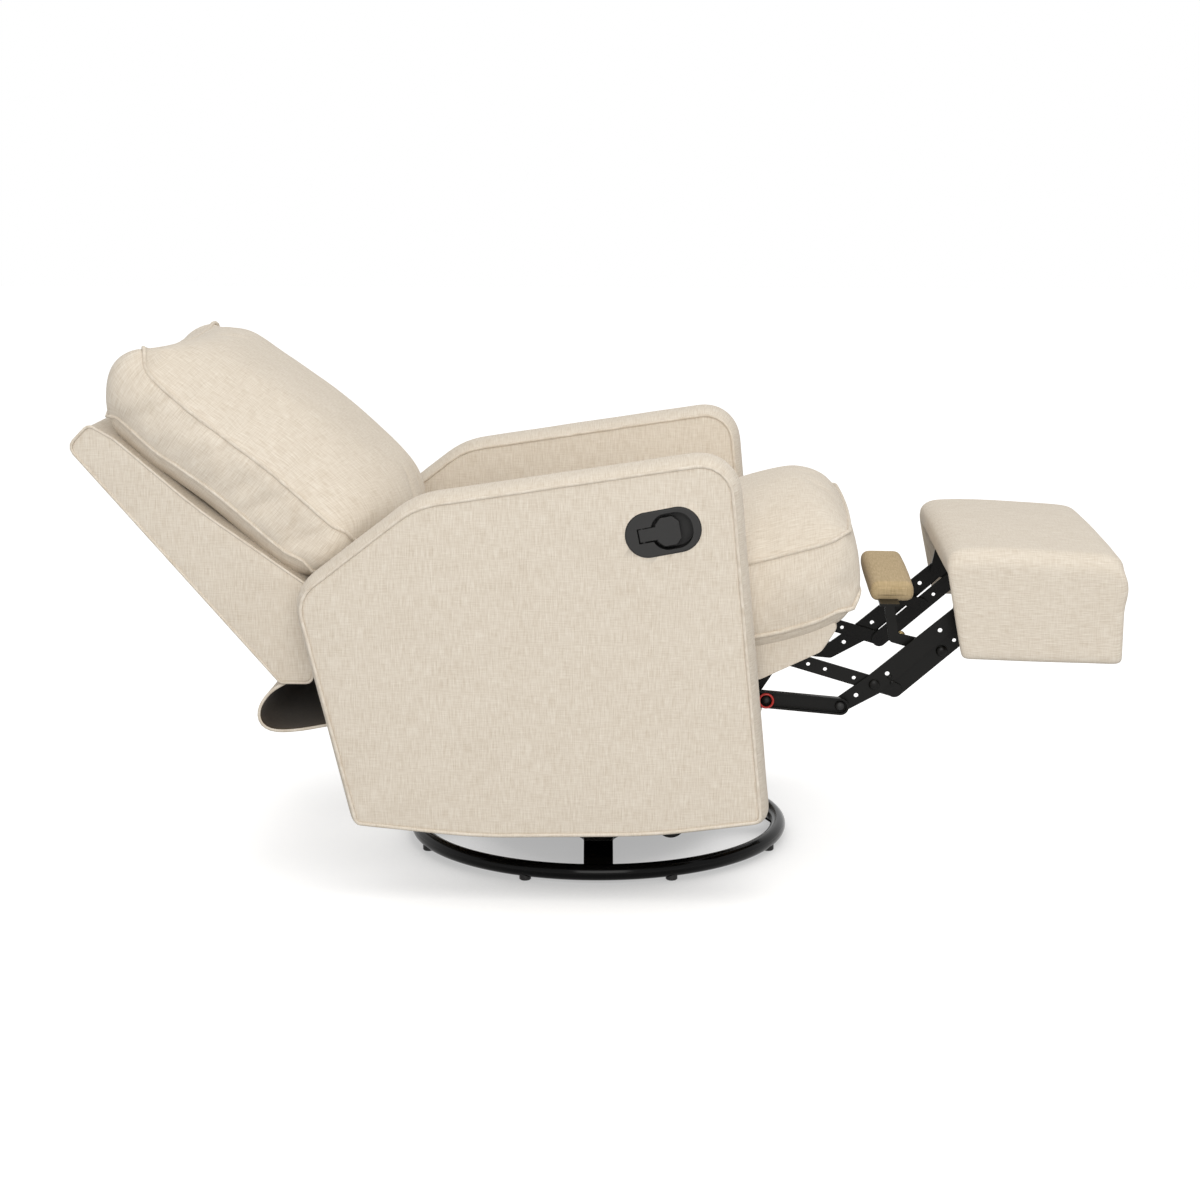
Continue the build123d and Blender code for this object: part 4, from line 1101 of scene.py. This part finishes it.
# %% Draw the hood's sections
hood_half = 0.2755
hood_toe = -0.796
hood_heel = -0.532
hood_skirt = 0.3505
hood_wall = 0.012
hood_ceiling = 0.4745
hood_corner = 0.030
hood_top = (
    (-0.796, 0.498), (-0.778, 0.508), (-0.70, 0.514), (-0.60, 0.518), (-0.552, 0.516), (-0.532, 0.505),
)
hood_slant = 0.026
hood_fall = 0.006
hood_brow = 0.006
hood_brow_middle = 0.460
hood_brow_reach = 0.026
hood_dome = 0.0035
hood_rows = 10
hood_bends = 8
hood_columns = 36


def hood_section(inset, top, ceiling):
    """One inverted U as a closed ring: up the near flap, across and down, then back inside."""
    half = hood_half - inset
    turn = hood_corner
    flap = top - turn - hood_skirt
    near = [Vector((-half, hood_skirt + inset + flap * k / hood_rows)) for k in range(hood_rows + 1)]
    for n in range(1, hood_bends):
        angle = pi - pi / 2 * n / hood_bends
        near.append(Vector((-half + turn + turn * cos(angle), top - inset - turn + turn * sin(angle))))
    span = 2 * (half - turn)
    across = []
    for n in range(hood_columns + 1):
        share = n / hood_columns
        rise = hood_dome * sin(pi * share)
        across.append(Vector((-half + turn + span * share, top - inset + rise)))
    outer = near + across + [Vector((-p.x, p.y)) for p in near[::-1]]
    inner_half = hood_half - hood_wall
    inner = []
    for spot in outer[::-1]:
        x = max(-inner_half, min(inner_half, spot.x))
        z = ceiling if abs(spot.x) < inner_half else min(ceiling, spot.y)
        inner.append(Vector((x, z)))
    return outer + inner


print("a hood section has", 2 * (2 * (hood_rows + hood_bends) + hood_columns + 1), "points")

# %% Sew the footrest hood
hood_length = hood_heel - hood_toe
hood_rim = [(0.0, 0.006), (0.003, 0.002), (0.010, 0.0)]
rim_reach = 0.010
hood_spans = 20
hood_stations = list(hood_rim)
for n in range(1, hood_spans):
    hood_stations.append((rim_reach + (hood_length - 2 * rim_reach) * n / hood_spans, 0.0))
hood_stations += [(hood_length - station, inset) for station, inset in hood_rim[::-1]]
hood_shoulder = 0.4905
hood_lip = 0.4555
lip_reach = 0.014
slant_reach = 0.12
hood_dent = 0.0012
hood_dent_size = 0.09


def sew_hood():
    """The hood's sections, skinned from heel to toe and closed at both ends."""
    cover = Cover()
    rings, flats = [], []
    for station, inset in hood_stations:
        y = hood_heel - station
        ceiling = hood_ceiling if station < hood_length - lip_reach else hood_lip
        ring = []
        section = hood_section(inset, between(hood_top, y), ceiling)
        for spot in section:
            share = (spot.y - hood_skirt) / (hood_shoulder - hood_skirt)
            slant = hood_slant * max(0.0, 1.0 - share) * max(0.0, 1.0 - station / slant_reach)
            wave = hood_dent * ripple((spot.x, y, spot.y), 8.0, hood_dent_size)
            bump = max(0.0, 1.0 - ((spot.y - hood_brow_middle) / hood_brow_reach) ** 2)
            brow = hood_brow * bump * max(0.0, station / hood_length * 8 - 7)
            fall = hood_fall * max(0.0, 1.0 - share) * station / hood_length
            ring.append((spot.x, y - slant - brow + wave, spot.y - fall + 0.5 * wave))
        rings.append(cover.row(ring))
        flats.append([(x, -station) for x in lengths(section)])
    cover.skin(rings, flats, closed=True)
    for row in (rings[0], rings[-1]):
        for k in range(len(row) // 2 - 1):
            face = (row[k], row[k + 1], row[-k - 2], row[-k - 1])
            cover.patch(face, [(cover.points[n].x, cover.points[n].z) for n in face])
    return cover.finish("footrest_hood_cover", oatmeal)


hood = sew_hood()
settle(hood, "footrest", "oatmeal_fabric", "footrest_hood")
print("hood", len(hood.data.vertices), "points")

# %% [markdown]
# ## Rear skirt
# A strip of the same cloth hangs from the back's foot to the rear rail, so the mechanism can't
# be seen from behind. It slackens into a loop when the back goes down, and it has to bend as
# the back comes up. Here it is drawn in one shape and set on no body.

# %% Hang the rear skirt
skirt_half = 0.268
skirt_cloth = 0.0045
skirt_route = (
    (0.4625, 0.3015), (0.474, 0.2965), (0.487, 0.287), (0.498, 0.2735), (0.5045, 0.259), (0.504, 0.243),
    (0.494, 0.2315), (0.478, 0.227), (0.458, 0.2275), (0.438, 0.2295), (0.418, 0.233),
    (0.396, 0.2375), (0.374, 0.241), (0.3505, 0.244),
)
skirt_columns = 40
skirt_wave = 0.0035
skirt_wave_size = 0.12


def hang_skirt():
    """The skirt's sheet, with soft waves across it."""
    cover = Cover()
    rows, flats = [], []
    run = 0.0
    for n, (y, z) in enumerate(skirt_route):
        if n:
            run += (Vector(skirt_route[n]) - Vector(skirt_route[n - 1])).length
        loose = sin(pi * n / (len(skirt_route) - 1))
        ring = []
        for c in range(skirt_columns + 1):
            x = -skirt_half + 2 * skirt_half * c / skirt_columns
            wave = skirt_wave * loose * ripple((x, y, z), 11.0, skirt_wave_size)
            ring.append((x, y + wave, z - 0.6 * wave))
        rows.append(cover.row(ring))
        flats.append([(p[0], run) for p in ring])
    cover.skin(rows, flats)
    sheet = cover.finish("rear_skirt_cloth", oatmeal)
    # The inner face takes the dark brown cloth, painted shade for the inside of the loop.
    sheet.data.materials.append(skirt_inside_shade)
    thick = sheet.modifiers.new("thickness", "SOLIDIFY")
    thick.thickness = skirt_cloth
    thick.offset = 0.0
    thick.material_offset = 1
    thick.material_offset_rim = 0
    return sheet, run


skirt, skirt_length = hang_skirt()
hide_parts("rear_skirt")
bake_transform(skirt)
print("skirt", round(2 * skirt_half, 3), "by", round(skirt_length, 3), "m flat")

# %% [markdown]
# ## Middle flap and webbing
# A small tan pad folds up between the seat and the footrest, a flat-sided cover with rounded
# ends. Black webbing carries the seat cushion across its box. A plain belt with a slight sag is
# enough for it, because it is seen only from below.

# %% Sew the flap
flap_half = 0.149
flap_profile = (
    ((-0.4275, 0.4455), 0.012),
    ((-0.4935, 0.4450), 0.012),
    ((-0.4945, 0.4150), 0.010),
    ((-0.4285, 0.4150), 0.010),
)
flap_outline = rounded_loop(flap_profile, 0.0045)
flap = slab(
    "middle_flap_cover", flap_outline, -flap_half, flap_half, crown=0.0015, puff=0.001, cloth=tan_cloth,
    columns=31, seed=9.0, end_round=0.009,
)
settle(flap, "middle_flap", "tan_fabric", "middle_flap_pad")
print("flap", len(flap.data.vertices), "points")

# %% Stretch the webbing
strap_low, strap_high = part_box("seat_straps")
strap_count = 5
strap_width = 0.050
strap_thickness = 0.0018
strap_sag = 0.004
strap_edge = 0.005
strap_tilt = 0.14
strap_columns = 24
strap_girth = (0.0, strap_width, strap_width + 0.002, 2 * strap_width, 2 * strap_width + 0.002)


def stretch_straps():
    """Flat belts across the seat box, each sagging a little at its middle."""
    cover = Cover()
    first = strap_low[1] + strap_width / 2
    last = strap_high[1] - strap_width / 2
    for n in range(strap_count):
        share = n / (strap_count - 1)
        y = first + (last - first) * share
        z = strap_high[2] - strap_edge + (strap_low[2] - strap_high[2] + 2 * strap_edge) * share
        rows, flats = [], []
        tilt = strap_tilt * strap_width / 2
        for c in range(strap_columns + 1):
            x = -box_inner + 2 * box_inner * c / strap_columns
            sag = strap_sag * (1.0 - (x / box_inner) ** 2)
            ring = []
            for side, rise in ((-1, 0.5), (1, 0.5), (1, -0.5), (-1, -0.5)):
                ring.append((x, y + side * strap_width / 2, z - side * tilt - sag + rise * strap_thickness))
            rows.append(cover.row(ring))
            flats.append([(x, around) for around in strap_girth])
        cover.skin(rows, flats, closed=True)
        for row in (rows[0], rows[-1]):
            cover.patch(row, flats[0][:4])
    return cover.finish("seat_webbing", webbing, levels=0)


straps = stretch_straps()
settle(straps, "seat", "black_cambric", "seat_straps")
print("straps:", strap_count)

# %% [markdown]
# ## Rivets, washers and springs
# Each pivot of the linkage is closed by a rivet head. They are turned from one small profile and
# grouped by the body that carries them, so they move with their link. A red washer under a bolt
# sits on each drive link. The spring that folds each flap bracket is a wire wound in a helix, so
# the function that draws the piping draws it too.

# %% Rivet the linkage
rivet_profile = ((0.45, 0.93), (0.78, 0.68), (0.95, 0.34), (1.0, 0.0))
rivet_sides = 20
washer_sides = 36
unwoven = [(0.0, 0.0)] * (washer_sides + 1)


def turned(cover, x, y, z, profile, sides):
    """Rings of points round a pin across the chair, one for each (radius, way along it)."""
    spin = [2 * pi * n / sides for n in range(sides)]
    return [cover.row((x + way, y + out * cos(a), z + out * sin(a)) for a in spin) for out, way in profile]


def rivets(name, body, heads, finish):
    """Rivet heads on both sides of the chair; each head is (x of its seat, y, z, radius, height)."""
    cover = Cover()
    for x, y, z, radius, height in heads:
        for side, _ in two_sides:
            profile = [(out * radius, side * rise * height) for out, rise in rivet_profile]
            rings = turned(cover, side * x, y, z, profile, rivet_sides)
            hub = cover.row([(side * (x + height), y, z)])[0]
            cover.fan(rings[0], hub, unwoven, unwoven[0])
            cover.skin(rings, [unwoven] * len(rings), closed=True)
            cover.patch(rings[-1], unwoven[:rivet_sides])
    return settle(cover.finish(name, finish, levels=0), body, "black_steel")


drive_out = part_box("footrest_drive_links")[1][0]
cross_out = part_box("footrest_cross_links")[1][0]
outer_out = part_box("footrest_outer_links")[1][0]
rivets("cross_rivets", "footrest_cross", [
    (cross_out, -0.4325, 0.2956, 0.0085, 0.0035),
    (cross_out, -0.5579, 0.4046, 0.0085, 0.0035),
    (cross_out, -0.4560, 0.3075, 0.0040, 0.0020),
    (cross_out, -0.4600, 0.2990, 0.0040, 0.0020),
    (cross_out, -0.3812, 0.2629, 0.0085, 0.0035),
], black_steel)
rivets("drive_rivets", "footrest_drive", [
    (drive_out - 0.008, -0.2392, 0.2749, 0.0085, 0.0050),
    (drive_out - 0.005, -0.3812, 0.2629, 0.0080, 0.0040),
], black_plastic)
rivets("outer_rivets", "footrest_outer", [
    (outer_out, -0.5345, 0.3474, 0.0090, 0.0050),
    (outer_out, -0.4642, 0.2863, 0.0080, 0.0020),
], black_steel)
print("linkage riveted")

# %% Set the washers and their bolts
washer_stand = 0.0005
washer_radius = 0.0105
washer_tube = 0.0018
tube_sides = 10
bolt_middle = (-0.268, 0.2712)
tube_spin = [2 * pi * n / tube_sides for n in range(tube_sides)]
tube_profile = [(washer_radius + washer_tube * cos(a), washer_tube * sin(a)) for a in tube_spin]
washers = Cover()
for side, _ in two_sides:
    rings = turned(washers, side * (drive_out + washer_stand), *bolt_middle, tube_profile, washer_sides)
    washers.skin(rings + rings[:1], [unwoven] * (tube_sides + 1), closed=True)
settle(washers.finish("drive_washers", red_plastic, levels=0), "footrest_drive", "black_plastic")
rivets("drive_bolts", "footrest_drive", [(drive_out - 0.008, *bolt_middle, 0.0080, 0.0085)], black_plastic)
print("washers and bolts set")

# %% Wind the flap springs
flap_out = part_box("middle_flap_brackets")[1][0]
spring_turns = 6
spring_steps = 20
spring_pitch = 0.0027
spring_radius = 0.0062
spring_wire = 0.0011
spring_inset = 0.0062
spring_middle = (-0.4735, 0.3655)
for side, label in two_sides:
    coil = []
    for n in range(spring_turns * spring_steps + 1):
        turn = n / spring_steps
        spun = Vector((0.0, cos(2 * pi * turn), sin(2 * pi * turn))) * spring_radius
        x = side * (flap_out - spring_inset - turn * spring_pitch)
        coil.append(Vector((x, *spring_middle)) + spun)
    piping(f"flap_{label}_spring", coil, "middle_flap", spring_wire, False, bronze_steel, "bare_steel")
print("springs wound,", spring_turns, "turns each")
